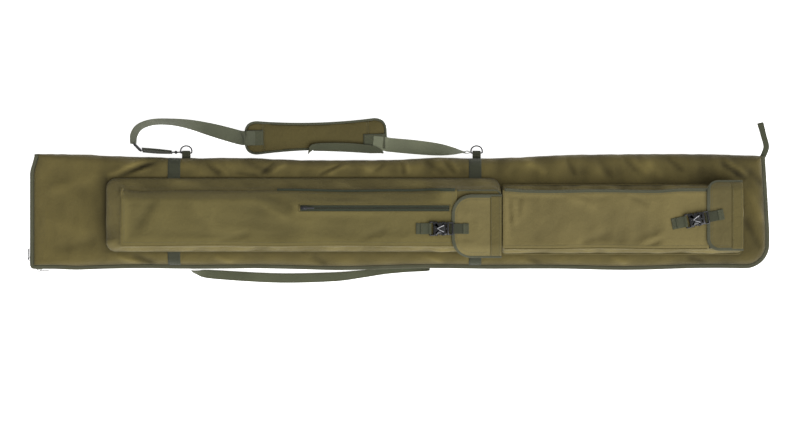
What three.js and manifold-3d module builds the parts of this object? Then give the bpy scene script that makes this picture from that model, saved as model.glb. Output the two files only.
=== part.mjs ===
// A padded clamshell rod case lying on its back, front up, as a three.js scene graph in millimetres.
// X runs along the length towards the end with the pull tab, Y towards the folding spine, Z up.
import * as THREE from 'three';
import { mergeVertices } from 'three/addons/utils/BufferGeometryUtils.js';
import Module from 'manifold-3d';

const wasm = await Module();
wasm.setup();

// ---------------------------------------------------------------- driving dimensions
const CASE = { left: -988, right: 986, bottom: -160, top: 142, cornerRadius: 66, smallRadius: 12 };
const GAP = 0.3;
const PADDING = 8;
const LINING = 1.5;
const TAPE = { outer: 2, inner: 3.5, backLow: 20.3, middle: 25.4, frontHigh: 33.2 };
const COIL = { proud: 1.2, half: 1.8, split: 0.2 };
const RIM = { low: 33.5, bindingHigh: 39, bindingWidth: 11 };
const BINDING = 4;
const SLIDER_BAY = 48; // length left free of the front's tape where both sliders park
const BAND = { width: 33, thickness: 1.7, x: [-601, 200] };
const STRAP = { y: 150, z: 24, width: 38, thickness: 1.8 };
const LONG_POCKET = {
  base: { x: [-780, 266], y: [-114, 82] }, top: { x: [-735, 266], y: [-96, 50] },
  z: [68.3, 116], faceEnd: 150,
};
const UPPER_POCKET = {
  base: { x: [270.5, 905], y: [-118, 64] }, top: { x: [270.5, 905], y: [-104, 50] },
  z: [68.3, 108], faceEnd: 815,
};
const POCKET_WALL = 4;
const FLAP_1 = { edge: 138, hinge: 268, y: [-127, 36], cornerRadius: 50, buckleY: -52, buckleTurn: 0 };
const FLAP_2 = { edge: 811, hinge: 905, y: [-108, 74], cornerRadius: 30, buckleY: -22, buckleTurn: 11 };
const POCKET_ZIP = { x: [-266, 133], y: 2, width: 16 };
const RING = { left: -572, right: 205, halfWidth: 17, wire: 4, barSink: 2, arcRise: 6, arcHeight: 15 };
const ROD_STRAP = { x: [-560, 20, 600], halfWidth: 19, y: [-105, 105], thickness: 2 };
const PIN = { x: 9, z: 7.2, radius: 1.2 }; // the slider's pin, on which its puller flips
const PAD = { x: -226, y: 195, turn: 1.5, halfLength: 191, halfWidth: 45, waist: 37, z: [2, 20] };

// ---------------------------------------------------------------- materials
const OLIVE = [0.33, 0.3, 0.165];
const OLIVE_DARK = [0.27, 0.245, 0.13];
const WEBBING = [0.2, 0.22, 0.16];
const BLACK = [0.02, 0.02, 0.022];
const DARK_METAL = [0.05, 0.05, 0.05];

function material(colour, roughness, metalness) {
  return new THREE.MeshStandardMaterial({ color: new THREE.Color(...colour), roughness, metalness });
}

const cloth = (colour) => material(colour, 0.85, 0);
const plastic = (colour) => material(colour, 0.3, 0);
const metal = (colour) => material(colour, 0.4, 0.9);

// ---------------------------------------------------------------- shapes
const rodCase = new THREE.Group();

function addPart(parent, name, geometry, material) {
  const mesh = new THREE.Mesh(geometry, material);
  mesh.name = name;
  parent.add(mesh);
  return mesh;
}

function toSolid(geometry) {
  const bare = geometry.clone();
  bare.deleteAttribute('normal');
  bare.deleteAttribute('uv');
  const merged = mergeVertices(bare);
  return new wasm.Manifold(new wasm.Mesh({
    numProp: 3,
    vertProperties: new Float32Array(merged.attributes.position.array),
    triVerts: new Uint32Array(merged.index.array),
  }));
}

function toGeometry(solid) {
  const mesh = solid.getMesh();
  const geometry = new THREE.BufferGeometry();
  geometry.setAttribute('position', new THREE.BufferAttribute(new Float32Array(mesh.vertProperties), 3));
  geometry.setIndex(new THREE.BufferAttribute(new Uint32Array(mesh.triVerts), 1));
  return geometry;
}

function cut(base, ...tools) {
  return toGeometry(tools.reduce((solid, tool) => solid.subtract(toSolid(tool)), toSolid(base)));
}

function join(base, ...others) {
  return toGeometry(others.reduce((solid, other) => solid.add(toSolid(other)), toSolid(base)));
}

function common(base, other) {
  return toGeometry(toSolid(base).intersect(toSolid(other)));
}

function block([x0, x1], [y0, y1], [z0, z1]) {
  return new THREE.BoxGeometry(x1 - x0, y1 - y0, z1 - z0)
    .translate((x0 + x1) / 2, (y0 + y1) / 2, (z0 + z1) / 2);
}

function slab(shape, z0, z1) {
  return new THREE.ExtrudeGeometry(shape, { depth: z1 - z0, bevelEnabled: false, curveSegments: 6 })
    .translate(0, 0, z0);
}

// The case's plan outline, drawn in by inset on the three zipped edges and square at the spine.
function caseOutline(inset, top = CASE.top) {
  const left = CASE.left + inset;
  const right = CASE.right - inset;
  const bottom = CASE.bottom + inset;
  const big = CASE.cornerRadius - inset;
  const small = Math.max(CASE.smallRadius - inset, 1);
  const shape = new THREE.Shape();
  shape.moveTo(left, top);
  shape.lineTo(left, bottom + small);
  shape.absarc(left + small, bottom + small, small, Math.PI, 1.5 * Math.PI, false);
  shape.lineTo(right - big, bottom);
  shape.absarc(right - big, bottom + big, big, 1.5 * Math.PI, 2 * Math.PI, false);
  shape.lineTo(right, top);
  shape.closePath();
  return shape;
}

// A strip that runs round the left, bottom and right edges and is open at the spine.
function edgeStrip(outer, inner, z0, z1, top) {
  return cut(slab(caseOutline(outer, top), z0, z1), slab(caseOutline(inner, top + 5), z0 - 1, z1 + 1));
}

// A plate over a grid of stations, with its own height at each crossing above and below.
// The underside's squares are split along the same diagonals as the top's, so both faces bend alike.
function plate(xs, ys, topAt, bottomAt) {
  const geometry = new THREE.BoxGeometry(1, 1, 1, xs.length - 1, ys.length - 1, 1);
  const under = geometry.groups[5];
  for (let i = under.start; i < under.start + under.count; i += 6) {
    const [a, b, d, , c] = geometry.index.array.slice(i, i + 5);
    geometry.index.array.set([a, b, c, a, c, d], i);
  }
  const position = geometry.attributes.position;
  for (let i = 0; i < position.count; i += 1) {
    const x = xs[Math.round((position.getX(i) + 0.5) * (xs.length - 1))];
    const y = ys[Math.round((position.getY(i) + 0.5) * (ys.length - 1))];
    position.setXYZ(i, x, y, position.getZ(i) > 0 ? topAt(x, y) : bottomAt(x, y));
  }
  return geometry;
}

// A block that narrows from one rectangle at its foot to another at its head.
function frustum(base, top, [z0, z1]) {
  const geometry = new THREE.BoxGeometry(1, 1, 1);
  const position = geometry.attributes.position;
  for (let i = 0; i < position.count; i += 1) {
    const level = position.getZ(i) > 0 ? top : base;
    const x = level.x[position.getX(i) > 0 ? 1 : 0];
    const y = level.y[position.getY(i) > 0 ? 1 : 0];
    position.setXYZ(i, x, y, position.getZ(i) > 0 ? z1 : z0);
  }
  return geometry;
}

// Flat webbing bent along points of [x, y, z, roll in degrees, width]; roll 0 lies flat, 90 stands on edge.
function ribbon(points, thickness, stepsPerSpan = 5) {
  const path = new THREE.CatmullRomCurve3(points.map(([x, y, z]) => new THREE.Vector3(x, y, z)));
  const spans = points.length - 1;
  const geometry = new THREE.BoxGeometry(1, 1, 1, spans * stepsPerSpan, 1, 1);
  const position = geometry.attributes.position;
  const up = new THREE.Vector3(0, 0, 1);
  for (let i = 0; i < position.count; i += 1) {
    const u = Math.min(Math.max(position.getX(i) + 0.5, 0), 1);
    const span = Math.min(Math.floor(u * spans + 1e-6), spans - 1);
    const blend = u * spans - span;
    const roll = THREE.MathUtils.degToRad(THREE.MathUtils.lerp(points[span][3], points[span + 1][3], blend));
    const width = THREE.MathUtils.lerp(points[span][4], points[span + 1][4], blend);
    const along = path.getTangent(u);
    const side = new THREE.Vector3().crossVectors(up, along).normalize();
    const normal = new THREE.Vector3().crossVectors(along, side);
    const across = side.clone().multiplyScalar(Math.cos(roll)).addScaledVector(normal, Math.sin(roll));
    const outward = new THREE.Vector3().crossVectors(along, across);
    const point = path.getPoint(u)
      .addScaledVector(across, position.getY(i) * width)
      .addScaledVector(outward, position.getZ(i) * thickness);
    position.setXYZ(i, point.x, point.y, point.z);
  }
  return geometry;
}

// A round rod along local Y, centred at (x, z).
function crossRod(radius, length, x, z) {
  return new THREE.CylinderGeometry(radius, radius, length, 10).translate(x, 0, z);
}

// ---------------------------------------------------------------- front surface
// Height of the front's outer face: a flat field with 45 degree shoulders, thinner at the butt end.
const FRONT_YS = [CASE.bottom + RIM.bindingWidth + GAP, -121, 112, 134, CASE.top - GAP];
const FRONT_XS = [CASE.left + RIM.bindingWidth + GAP, -945, -770, 930, CASE.right - RIM.bindingWidth - GAP];
const HEIGHT_AT_Y = [41, 66, 66, 44, 36.5];
const HEIGHT_AT_X = [41, 50, 66, 66, 41];

function frontTop(x, y) {
  const iy = FRONT_YS.indexOf(y);
  const ix = FRONT_XS.indexOf(x);
  return Math.min(iy < 0 ? Infinity : HEIGHT_AT_Y[iy], ix < 0 ? Infinity : HEIGHT_AT_X[ix]);
}

function frontUnder(x, y) {
  return Math.max(RIM.low, frontTop(x, y) - PADDING);
}

// ---------------------------------------------------------------- back half
function buildBack() {
  const grooves = BAND.x.map((x) => block(
    [x - BAND.width / 2 - GAP, x + BAND.width / 2 + GAP], [CASE.bottom - 5, CASE.top + 5], [-1, 2]));
  addPart(rodCase, 'back_panel',
    cut(slab(caseOutline(BINDING + GAP, CASE.top), 0, PADDING), ...grooves), cloth(OLIVE));
  addPart(rodCase, 'back_edge_binding', edgeStrip(0, BINDING, 2.3, PADDING, CASE.top - 6), cloth(WEBBING));
  addPart(rodCase, 'back_gusset',
    edgeStrip(0, 5, PADDING + GAP, TAPE.backLow - GAP, CASE.top - 5), cloth(OLIVE_DARK));
  addPart(rodCase, 'spine_panel',
    block([CASE.left + 5.3, CASE.right - 5.3], [CASE.top - 4.7, CASE.top], [PADDING + GAP, RIM.low - 0.7]),
    cloth(OLIVE_DARK));
  addPart(rodCase, 'back_lining',
    slab(caseOutline(12, CASE.top - 8), PADDING + GAP, PADDING + GAP + LINING), cloth(OLIVE_DARK));
  const coilLow = TAPE.middle - COIL.half;
  addPart(rodCase, 'zip_tape_back', join(
    edgeStrip(TAPE.outer, TAPE.inner, TAPE.backLow, TAPE.middle - COIL.split, CASE.top - 12),
    edgeStrip(TAPE.outer - COIL.proud, TAPE.inner, coilLow, TAPE.middle - COIL.split, CASE.top - 12),
  ), cloth(WEBBING));
}

function buildBackBands() {
  BAND.x.forEach((x, i) => {
    const across = [x - BAND.width / 2, x + BAND.width / 2];
    addPart(rodCase, `band_${i + 1}_back`, join(
      block(across, [CASE.bottom - 2, CASE.top + 2], [0, BAND.thickness]),
      block(across, [CASE.bottom - 2, CASE.bottom - GAP], [0, TAPE.backLow - GAP]),
      block(across, [CASE.top + GAP, CASE.top + 2], [0, RIM.low - 3.5]),
    ), cloth(WEBBING));
  });
}

// ---------------------------------------------------------------- inside fittings
function buildFittings() {
  const floor = PADDING + LINING + 2 * GAP;
  ROD_STRAP.x.forEach((x, i) => {
    addPart(rodCase, `rod_strap_${i + 1}`, block([x - ROD_STRAP.halfWidth, x + ROD_STRAP.halfWidth],
      ROD_STRAP.y, [floor, floor + ROD_STRAP.thickness]), cloth(WEBBING));
  });
  addPart(rodCase, 'tip_pocket', cut(
    block([790, 965], [-112, 112], [floor, 29]), block([780, 961], [-108, 108], [floor + 3, 26])),
  cloth(OLIVE_DARK));
  addPart(rodCase, 'butt_pad', block([-974, -956], [-125, 122], [floor, 28]), cloth(BLACK));
}

// ---------------------------------------------------------------- front half
function buildFront() {
  const edge = RIM.bindingWidth + GAP;
  const field = plate(FRONT_XS, FRONT_YS, frontTop, frontUnder);
  addPart(rodCase, 'front_panel', common(field, slab(caseOutline(edge), 0, 100)), cloth(OLIVE));
  addPart(rodCase, 'front_edge_binding',
    edgeStrip(0, RIM.bindingWidth, RIM.low, RIM.bindingHigh, CASE.top - 2), cloth(WEBBING));
  const skin = cut(field.clone().translate(0, 0, -GAP - LINING), field.clone().translate(0, 0, -GAP));
  addPart(rodCase, 'front_lining', common(skin, slab(caseOutline(edge + 3, CASE.top - 8), 0, 100)),
    cloth(OLIVE_DARK));
  const frontTape = join(
    edgeStrip(TAPE.outer, TAPE.inner, TAPE.middle + COIL.split, TAPE.frontHigh, CASE.top - 12),
    edgeStrip(TAPE.outer - COIL.proud, TAPE.inner, TAPE.middle + COIL.split,
      TAPE.middle + COIL.half, CASE.top - 12));
  const nearLeft = [CASE.left - 5, CASE.left + SLIDER_BAY];
  const leftEdge = block(nearLeft, [CASE.bottom - 5, CASE.top + 5], [0, 60]);
  const corner = block(nearLeft, [CASE.bottom - 5, CASE.bottom + SLIDER_BAY], [0, 60]);
  addPart(rodCase, 'zip_tape_front', cut(frontTape, leftEdge), cloth(WEBBING));
  addPart(rodCase, 'end_zip_tape_front', cut(common(frontTape, leftEdge), corner), cloth(WEBBING));
  const ys = [CASE.bottom + edge + 0.01, ...FRONT_YS.slice(1)];
  const underBand = (x, y) => (FRONT_YS.includes(y) ? frontTop(0, y) : HEIGHT_AT_Y[0]) + GAP;
  BAND.x.forEach((x, i) => {
    addPart(rodCase, `band_${i + 1}_front`, plate([x - BAND.width / 2, x + BAND.width / 2], ys,
      (_, y) => underBand(x, y) + BAND.thickness, underBand), cloth(WEBBING));
  });
}

// ---------------------------------------------------------------- pockets
function inset(level, wall) {
  return { x: [level.x[0] + wall, level.x[1] - wall], y: [level.y[0] + wall, level.y[1] - wall] };
}

// The rectangle that a frustum's sides reach at a share of its height, below 0 and above 1 too.
function rectangleAt(base, top, share) {
  const mix = (from, to) => from.map((value, i) => THREE.MathUtils.lerp(value, to[i], share));
  return { x: mix(base.x, top.x), y: mix(base.y, top.y) };
}

function buildPocket(name, pocket) {
  const [low, high] = pocket.z;
  const [innerBase, innerTop] = [inset(pocket.base, POCKET_WALL), inset(pocket.top, POCKET_WALL)];
  const inner = frustum(rectangleAt(innerBase, innerTop, -0.1), rectangleAt(innerBase, innerTop, 1.1),
    [low - 0.1 * (high - low), high + 0.1 * (high - low)]);
  addPart(rodCase, `${name}_gusset`, cut(frustum(pocket.base, pocket.top, pocket.z), inner),
    cloth(OLIVE_DARK));
  addPart(rodCase, `${name}_face`, block([pocket.top.x[0], pocket.faceEnd], pocket.top.y,
    [high + GAP, high + GAP + POCKET_WALL]), cloth(OLIVE));
  const seam = pocket.top.y[1] + GAP;
  addPart(rodCase, `${name}_piping`, block([pocket.top.x[0] + 2, pocket.faceEnd],
    [seam, seam + 3.5], [high + GAP, high + GAP + POCKET_WALL]), cloth(WEBBING));
}

// ---------------------------------------------------------------- flaps and side-release buckles
function flapOutline(flap, drawnIn) {
  const edge = flap.edge + drawnIn;
  const low = flap.y[0] + drawnIn;
  const high = flap.y[1] - drawnIn;
  const radius = flap.cornerRadius - drawnIn;
  const shape = new THREE.Shape();
  shape.moveTo(flap.hinge, low);
  shape.lineTo(flap.hinge, high);
  shape.lineTo(edge + radius, high);
  shape.absarc(edge + radius, high - radius, radius, 0.5 * Math.PI, Math.PI, false);
  shape.lineTo(edge, low + radius);
  shape.absarc(edge + radius, low + radius, radius, Math.PI, 1.5 * Math.PI, false);
  shape.closePath();
  return shape;
}

function buildFlap(number, flap, faceTop) {
  const low = faceTop + 0.8;
  const high = low + 2.5;
  addPart(rodCase, `flap_${number}`, slab(flapOutline(flap, BINDING + GAP), low, high), cloth(OLIVE));
  const beyond = block([flap.hinge - GAP, flap.hinge + 5], [flap.y[0] - 5, flap.y[1] + 5],
    [low - 1, high + 2]);
  addPart(rodCase, `flap_${number}_binding`, cut(
    slab(flapOutline(flap, 0), low, high),
    slab(flapOutline({ ...flap, hinge: flap.hinge + 9 }, BINDING), low - 1, high + 2),
    beyond), cloth(WEBBING));
}

// Local frame: the origin is the middle of the flap's free edge on the pocket face, X towards the hinge.
function buildBuckle(number, flap, faceTop) {
  const group = new THREE.Group();
  group.position.set(flap.edge, flap.buckleY, faceTop);
  group.rotation.z = THREE.MathUtils.degToRad(flap.buckleTurn);
  rodCase.add(group);
  addPart(group, `buckle_${number}_strap`, block([-96, -62], [-15, 15], [0.5, 2.3]), cloth(WEBBING));
  const female = cut(block([-61, -17], [-19, 19], [1.2, 12.2]),
    block([-41, -16], [-16, 16], [7.3, 10.7]),
    block([-38, -29], [-20, 20], [7.3, 10.7]),
    block([-57, -53], [-15.5, 15.5], [0, 12]));
  addPart(group, `buckle_${number}_female`, female, plastic(BLACK));
  const prongZ = [7.9, 10.1];
  const arms = [[11, 14.5], [-14.5, -11]].map((across) => block([-36, -14], across, prongZ));
  const barbs = [[11, 17.5], [-17.5, -11]].map((across) => block([-36, -31.5], across, prongZ));
  const tongue = block([-34, -14], [-2, 2], prongZ);
  const male = cut(join(block([-15, 3], [-17, 17], [3.8, 10.6]), ...arms, ...barbs, tongue),
    block([-16, 4], [-15.5, 15.5], [5.2, 7.6]));
  addPart(group, `buckle_${number}_male`, male, plastic(BLACK));
  addPart(group, `flap_${number}_strap`, block([-10, 42], [-15, 15], [5.5, 7.3]), cloth(WEBBING));
}

// ---------------------------------------------------------------- zip sliders
// Local frame: X is the way of travel, Z out of the tape's face, the chain runs along the origin's X axis.
function buildSlider(name, frame) {
  const group = new THREE.Group();
  const axes = frame.axes.map((axis) => new THREE.Vector3(...axis));
  group.setRotationFromMatrix(new THREE.Matrix4().makeBasis(...axes));
  group.position.set(...frame.at);
  rodCase.add(group);
  const body = cut(block([0, 18], [-4.5, 4.5], [0.4, 4]), block([-1, 19], [-2.4, 2.4], [0, 1.8]));
  const ear = (y) => block([PIN.x - 2, PIN.x + 2], [y - 0.7, y + 0.7], [3.5, PIN.z + 2]);
  const pin = crossRod(PIN.radius, 7, PIN.x, PIN.z);
  addPart(group, `${name}_slider`, join(body, ear(3.4), ear(-3.4), pin), metal(DARK_METAL));
  const eye = crossRod(2.8, 4.4, PIN.x, PIN.z);
  const pull = block([PIN.x, PIN.x + 27], [-2.2, 2.2], [PIN.z - 1.1, PIN.z + 1.1]);
  const bore = crossRod(PIN.radius + 0.5, 6, PIN.x, PIN.z);
  addPart(group, `${name}_puller`, cut(join(eye, pull), bore), plastic(BLACK));
}

function buildPocketZip(faceTop) {
  const [x0, x1] = POCKET_ZIP.x;
  const across = [POCKET_ZIP.y - POCKET_ZIP.width / 2, POCKET_ZIP.y + POCKET_ZIP.width / 2];
  addPart(rodCase, 'pocket_zip', join(
    block([x0, x1], across, [faceTop + GAP, faceTop + 1.3]),
    block([x0, x1], [POCKET_ZIP.y - COIL.half, POCKET_ZIP.y + COIL.half], [faceTop + 1, faceTop + 2.5]),
  ), cloth(WEBBING));
  buildSlider('pocket_zip', {
    at: [x0 + 4, POCKET_ZIP.y, faceTop + 1.3], axes: [[1, 0, 0], [0, 1, 0], [0, 0, 1]],
  });
}

// ---------------------------------------------------------------- shoulder strap
// A flat D ring whose straight bar turns inside a webbing tab sewn to the spine.
function buildDRing(name, x, tabLow) {
  const tab = cut(block([x - 11.5, x + 11.5], [tabLow, STRAP.y + 5], [STRAP.z - 6, STRAP.z + 6]),
    new THREE.CylinderGeometry(3.3, 3.3, 30, 12).rotateZ(Math.PI / 2).translate(x, STRAP.y, STRAP.z));
  addPart(rodCase, `${name}_tab`, tab, cloth(WEBBING));
  const ring = new THREE.Shape();
  const [arcY, low] = [STRAP.y + RING.arcRise, STRAP.y - RING.barSink];
  ring.moveTo(x - RING.halfWidth, low);
  ring.lineTo(x + RING.halfWidth, low);
  ring.lineTo(x + RING.halfWidth, arcY);
  ring.absellipse(x, arcY, RING.halfWidth, RING.arcHeight, 0, Math.PI, false);
  ring.closePath();
  const inside = RING.halfWidth - RING.wire;
  const hole = new THREE.Path();
  hole.moveTo(x - inside, low + RING.wire);
  hole.lineTo(x - inside, arcY);
  hole.absellipse(x, arcY, inside, RING.arcHeight - RING.wire, Math.PI, 0, true);
  hole.lineTo(x + inside, low + RING.wire);
  hole.closePath();
  ring.holes.push(hole);
  addPart(rodCase, name, slab(ring, STRAP.z - RING.wire / 2, STRAP.z + RING.wire / 2), metal(DARK_METAL));
}

function padOutline() {
  const { halfLength: length, halfWidth: width, waist } = PAD;
  const shape = new THREE.Shape();
  const corner = 34;
  shape.moveTo(-length + corner, -width);
  shape.quadraticCurveTo(0, width - 2 * waist, length - corner, -width);
  shape.quadraticCurveTo(length, -width, length, -width + corner);
  shape.lineTo(length, width - corner);
  shape.quadraticCurveTo(length, width, length - corner, width);
  shape.quadraticCurveTo(0, 2 * waist - width, -length + corner, width);
  shape.quadraticCurveTo(-length, width, -length, width - corner);
  shape.lineTo(-length, -width + corner);
  shape.quadraticCurveTo(-length, -width, -length + corner, -width);
  return shape;
}

function buildShoulderStrap() {
  buildDRing('d_ring_left', RING.left, CASE.top + GAP);
  buildDRing('d_ring_right', RING.right, CASE.top + 2 + GAP);
  const hookEnd = RING.left - RING.halfWidth - GAP;
  addPart(rodCase, 'strap_hook_left', block([-612, hookEnd], [147, 157], [12, 28]), plastic(BLACK));
  const { width, thickness } = STRAP;
  addPart(rodCase, 'strap_webbing_doubled', ribbon([
    [-690, 157, 16, 90, 24], [-650, 154, 16, 90, 24], [-612.5, 152, 17, 90, 22]], 4, 1), cloth(WEBBING));
  const glide = cut(block([-14, 14], [-2.5, 2.5], [-14, 14]),
    block([-9, -3], [-4, 4], [-11.5, 11.5]), block([3, 9], [-4, 4], [-11.5, 11.5]));
  const glideMesh = addPart(rodCase, 'tri_glide', glide, plastic(BLACK));
  glideMesh.position.set(-703, 165, 16);
  glideMesh.rotation.z = -Math.PI / 4;
  addPart(rodCase, 'strap_webbing_left', ribbon([
    [-714.5, 178, 19, 80, 28], [-712, 200, 19, 80, 30], [-696, 221, 19, 85, 30], [-660, 233, 19, 88, 32],
    [-610, 233, 18, 75, 34], [-560, 226, 16, 35, 36], [-500, 211, 12, 5, width],
    [-424, 190, 11, 0, width]], thickness), cloth(WEBBING));
  const rightLoop = block([170, RING.right - RING.halfWidth - GAP], [149, 155], [12, 28]);
  addPart(rodCase, 'strap_webbing_right', join(ribbon([
    [-34, 172, 11, 0, width], [40, 166, 12, 0, width], [100, 160, 14, -12, 34], [145, 155, 17, -45, 26],
    [175, 152, 19, -85, 18]], thickness), rightLoop), cloth(WEBBING));
  const pad = new THREE.Group();
  pad.position.set(PAD.x, PAD.y, 0);
  pad.rotation.z = THREE.MathUtils.degToRad(PAD.turn);
  rodCase.add(pad);
  const [low, high] = PAD.z;
  addPart(pad, 'shoulder_pad', slab(padOutline(), low, high), cloth(OLIVE_DARK));
  addPart(pad, 'pad_patch_left', block([-188, -140], [-20, 20], [high + GAP, high + 2]), cloth(WEBBING));
  addPart(pad, 'pad_patch_right', block([128, 186], [-38, 2], [high + GAP, high + 2]), cloth(WEBBING));
}

// ---------------------------------------------------------------- carry handles and pull tab
function buildHandles() {
  addPart(rodCase, 'top_handle', ribbon([
    [-246, 148, 26, 90, 8], [-240, 157, 26, 50, 10], [-226, 165, 26, 15, 20], [-150, 165, 25, 0, 24],
    [-80, 160, 25, 0, 22], [-54, 155, 26, -20, 13], [-44, 149, 26, -80, 8]], 2), cloth(WEBBING));
  addPart(rodCase, 'bottom_handle', ribbon([
    [-560, -165, 9, 85, 12], [-545, -170, 8, 50, 16], [-500, -175.5, 4, 0, 24], [-330, -185, 3, 0, 26],
    [-130, -182, 3, 0, 26], [20, -176, 4, 0, 24], [64, -170, 8, -50, 16], [80, -165, 9, -85, 12]], 2),
  cloth(WEBBING));
  addPart(rodCase, 'grab_tab', ribbon([
    [974, 145.5, 24, 0, 15], [980, 168, 23, 0, 15], [973, 198, 21, 0, 15], [964, 231, 20, 0, 16]], 4),
  cloth(WEBBING));
}

// ---------------------------------------------------------------- assembly
const longFaceTop = LONG_POCKET.z[1] + GAP + POCKET_WALL;
const upperFaceTop = UPPER_POCKET.z[1] + GAP + POCKET_WALL;

buildBack();
buildBackBands();
buildFittings();
buildFront();
buildPocket('long_pocket', LONG_POCKET);
buildPocket('upper_pocket', UPPER_POCKET);
buildFlap(1, FLAP_1, longFaceTop);
buildFlap(2, FLAP_2, upperFaceTop);
buildBuckle(1, FLAP_1, longFaceTop);
buildBuckle(2, FLAP_2, upperFaceTop);
buildPocketZip(longFaceTop);
buildSlider('main_zip', {
  at: [CASE.left + 14, CASE.bottom + TAPE.outer, TAPE.middle], axes: [[1, 0, 0], [0, 0, 1], [0, -1, 0]],
});
buildSlider('end_zip', {
  at: [CASE.left + TAPE.outer, CASE.bottom + 18, TAPE.middle], axes: [[0, 1, 0], [0, 0, -1], [-1, 0, 0]],
});
buildShoulderStrap();
buildHandles();

// The origin is the middle of the bounding box, at floor level.
const bounds = new THREE.Box3().setFromObject(rodCase);
const middle = bounds.getCenter(new THREE.Vector3());
rodCase.position.set(-middle.x, -middle.y, -bounds.min.z);

export default rodCase;
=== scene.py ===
"""A padded clamshell rod case, front up: fabric, seams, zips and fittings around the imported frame.

Every function works in millimetres in the case's own drawing coordinates, X along the case and Z up,
and Builder.make turns them into metres in the row frame.
"""
import math

import bmesh
import bpy
import numpy as np
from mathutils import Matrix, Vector


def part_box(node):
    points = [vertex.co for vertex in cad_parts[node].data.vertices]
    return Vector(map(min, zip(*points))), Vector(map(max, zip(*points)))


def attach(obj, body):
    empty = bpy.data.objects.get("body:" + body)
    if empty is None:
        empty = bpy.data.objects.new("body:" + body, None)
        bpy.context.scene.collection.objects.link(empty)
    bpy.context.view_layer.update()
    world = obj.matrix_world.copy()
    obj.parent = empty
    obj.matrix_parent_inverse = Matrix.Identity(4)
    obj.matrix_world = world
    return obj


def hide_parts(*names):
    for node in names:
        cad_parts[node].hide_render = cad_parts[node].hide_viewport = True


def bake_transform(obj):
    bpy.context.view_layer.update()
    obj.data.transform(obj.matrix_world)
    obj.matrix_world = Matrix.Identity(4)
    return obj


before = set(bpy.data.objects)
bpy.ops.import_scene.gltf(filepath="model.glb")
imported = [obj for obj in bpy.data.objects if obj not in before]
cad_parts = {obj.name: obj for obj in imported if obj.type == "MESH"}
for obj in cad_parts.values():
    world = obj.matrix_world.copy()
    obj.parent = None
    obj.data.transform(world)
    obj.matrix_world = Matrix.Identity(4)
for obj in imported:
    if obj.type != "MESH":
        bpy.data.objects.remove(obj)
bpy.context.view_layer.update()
MM = 0.001


def node_box(node):
    """A CAD node's low and high corners in millimetres."""
    low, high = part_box(node)
    return np.array(low) / MM, np.array(high) / MM


# ------------------------------------------------------------------ driving dimensions, in millimetres
LEFT, RIGHT, BOTTOM, TOP = -988.0, 986.0, -160.0, 142.0
CORNER, SMALL_CORNER = 66.0, 12.0
RIM_WIDTH = 10.5
BAND_X, BAND_WIDTH = (-601.0, 200.0), 33.0
GRID_STEP = 5.0  # between the shells' points, away from their edges
WELD = 0.02  # points closer than this are one point
# painted shade: how far the mesh attribute of painted shade, highlight and tone lightens or darkens a colour
PAINTED_SHADE_SHARE = 0.3
COIL_PITCH, COIL_LENGTH = 2.5, 2.6
FLAP_EDGE_POINTS, PAD_POINTS = 104, 220
PAD_VOXEL, PAD_CAP, PAD_PRESSURE = 5.0, 4.0, 4.0
PAD_SEAMS = (-140, 140)
LONG = dict(base=(-780, 266, -114, 82), top=(-735, 266, -96, 50), z=(68.3, 116.2), face=(116.3, 120.3),
            end=150)
UPPER = dict(base=(270.5, 905, -118, 64), top=(270.5, 905, -104, 50), z=(68.3, 108.2),
             face=(108.3, 112.3), end=815)
FLAP_1 = dict(edge=138, hinge=268, y=(-127, 36), radius=50, z=(121.15, 123.55), pocket=LONG,
              buckle_y=-52, turn=0)
FLAP_2 = dict(edge=811, hinge=905, y=(-108, 74), radius=30, z=(113.15, 115.55), pocket=UPPER,
              buckle_y=-22, turn=11)
FLAP_BODIES = ("long_pocket_flap", "upper_pocket_flap")
POCKET_ZIP = dict(x=(-266, 133), y=2, width=16)
PAD = dict(x=-226, y=195, turn=1.5, length=191, width=45, waist=37, corner=34, z=(2, 20))

rim_low, _ = node_box("front_edge_binding")
SHIFT = np.array([rim_low[0] - LEFT, rim_low[1] - BOTTOM, 0.0])  # from drawing to row coordinates


def drawn_box(node):
    """A CAD node's corners in drawing coordinates."""
    low, high = node_box(node)
    return low - SHIFT, high - SHIFT


# ------------------------------------------------------------------ small maths
def xyz(x, y, z):
    """Points from their coordinates, any of which may be one number for all."""
    return np.stack(np.broadcast_arrays(x, y, z), -1)


def grounded(plan):
    """Plan points at height 0."""
    return np.column_stack([plan, 0 * plan[:, 0]])


def every(rows, direction):
    """One direction, repeated for every row."""
    return np.tile(np.array(direction, float), (len(rows), 1))


def crossed(xs, ys):
    """A grid's x and y values, its rows along the first."""
    return np.meshgrid(xs, ys, indexing="ij")


def spread(at, along, rows):
    """Rows of three numbers read off at these lengths."""
    return np.stack([np.interp(at, along, rows[:, k]) for k in range(3)], 1)


def fan(n):
    """Triangles from a ring of n points to the point after them."""
    return np.stack([np.arange(n), (np.arange(n) + 1) % n, np.full(n, n)], 1)


def ease(t):
    """A smooth step from 0 to 1."""
    t = np.clip(t, 0, 1)
    return t * t * (3 - 2 * t)


def dome(t):
    """A quarter circle's rise from 0 to 1."""
    t = np.clip(t, 0, 1)
    return np.sqrt(1 - (1 - t) ** 2)


def ripple(x, y, size, seed):
    """Smooth noise of about -1..1 whose features are about size across."""
    rng = np.random.default_rng(seed)
    total = 0 * (x + y)
    for _ in range(7):
        angle, phase = rng.uniform(0, 2 * math.pi, 2)
        k = 2 * math.pi / (size * rng.uniform(1.2, 3.0))
        total = total + np.sin((x * math.cos(angle) + y * math.sin(angle)) * k + phase)
    return total / 4


def sway(x, size, seed):
    """The same noise along one line."""
    return ripple(x, 0 * x, size, seed)


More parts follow.
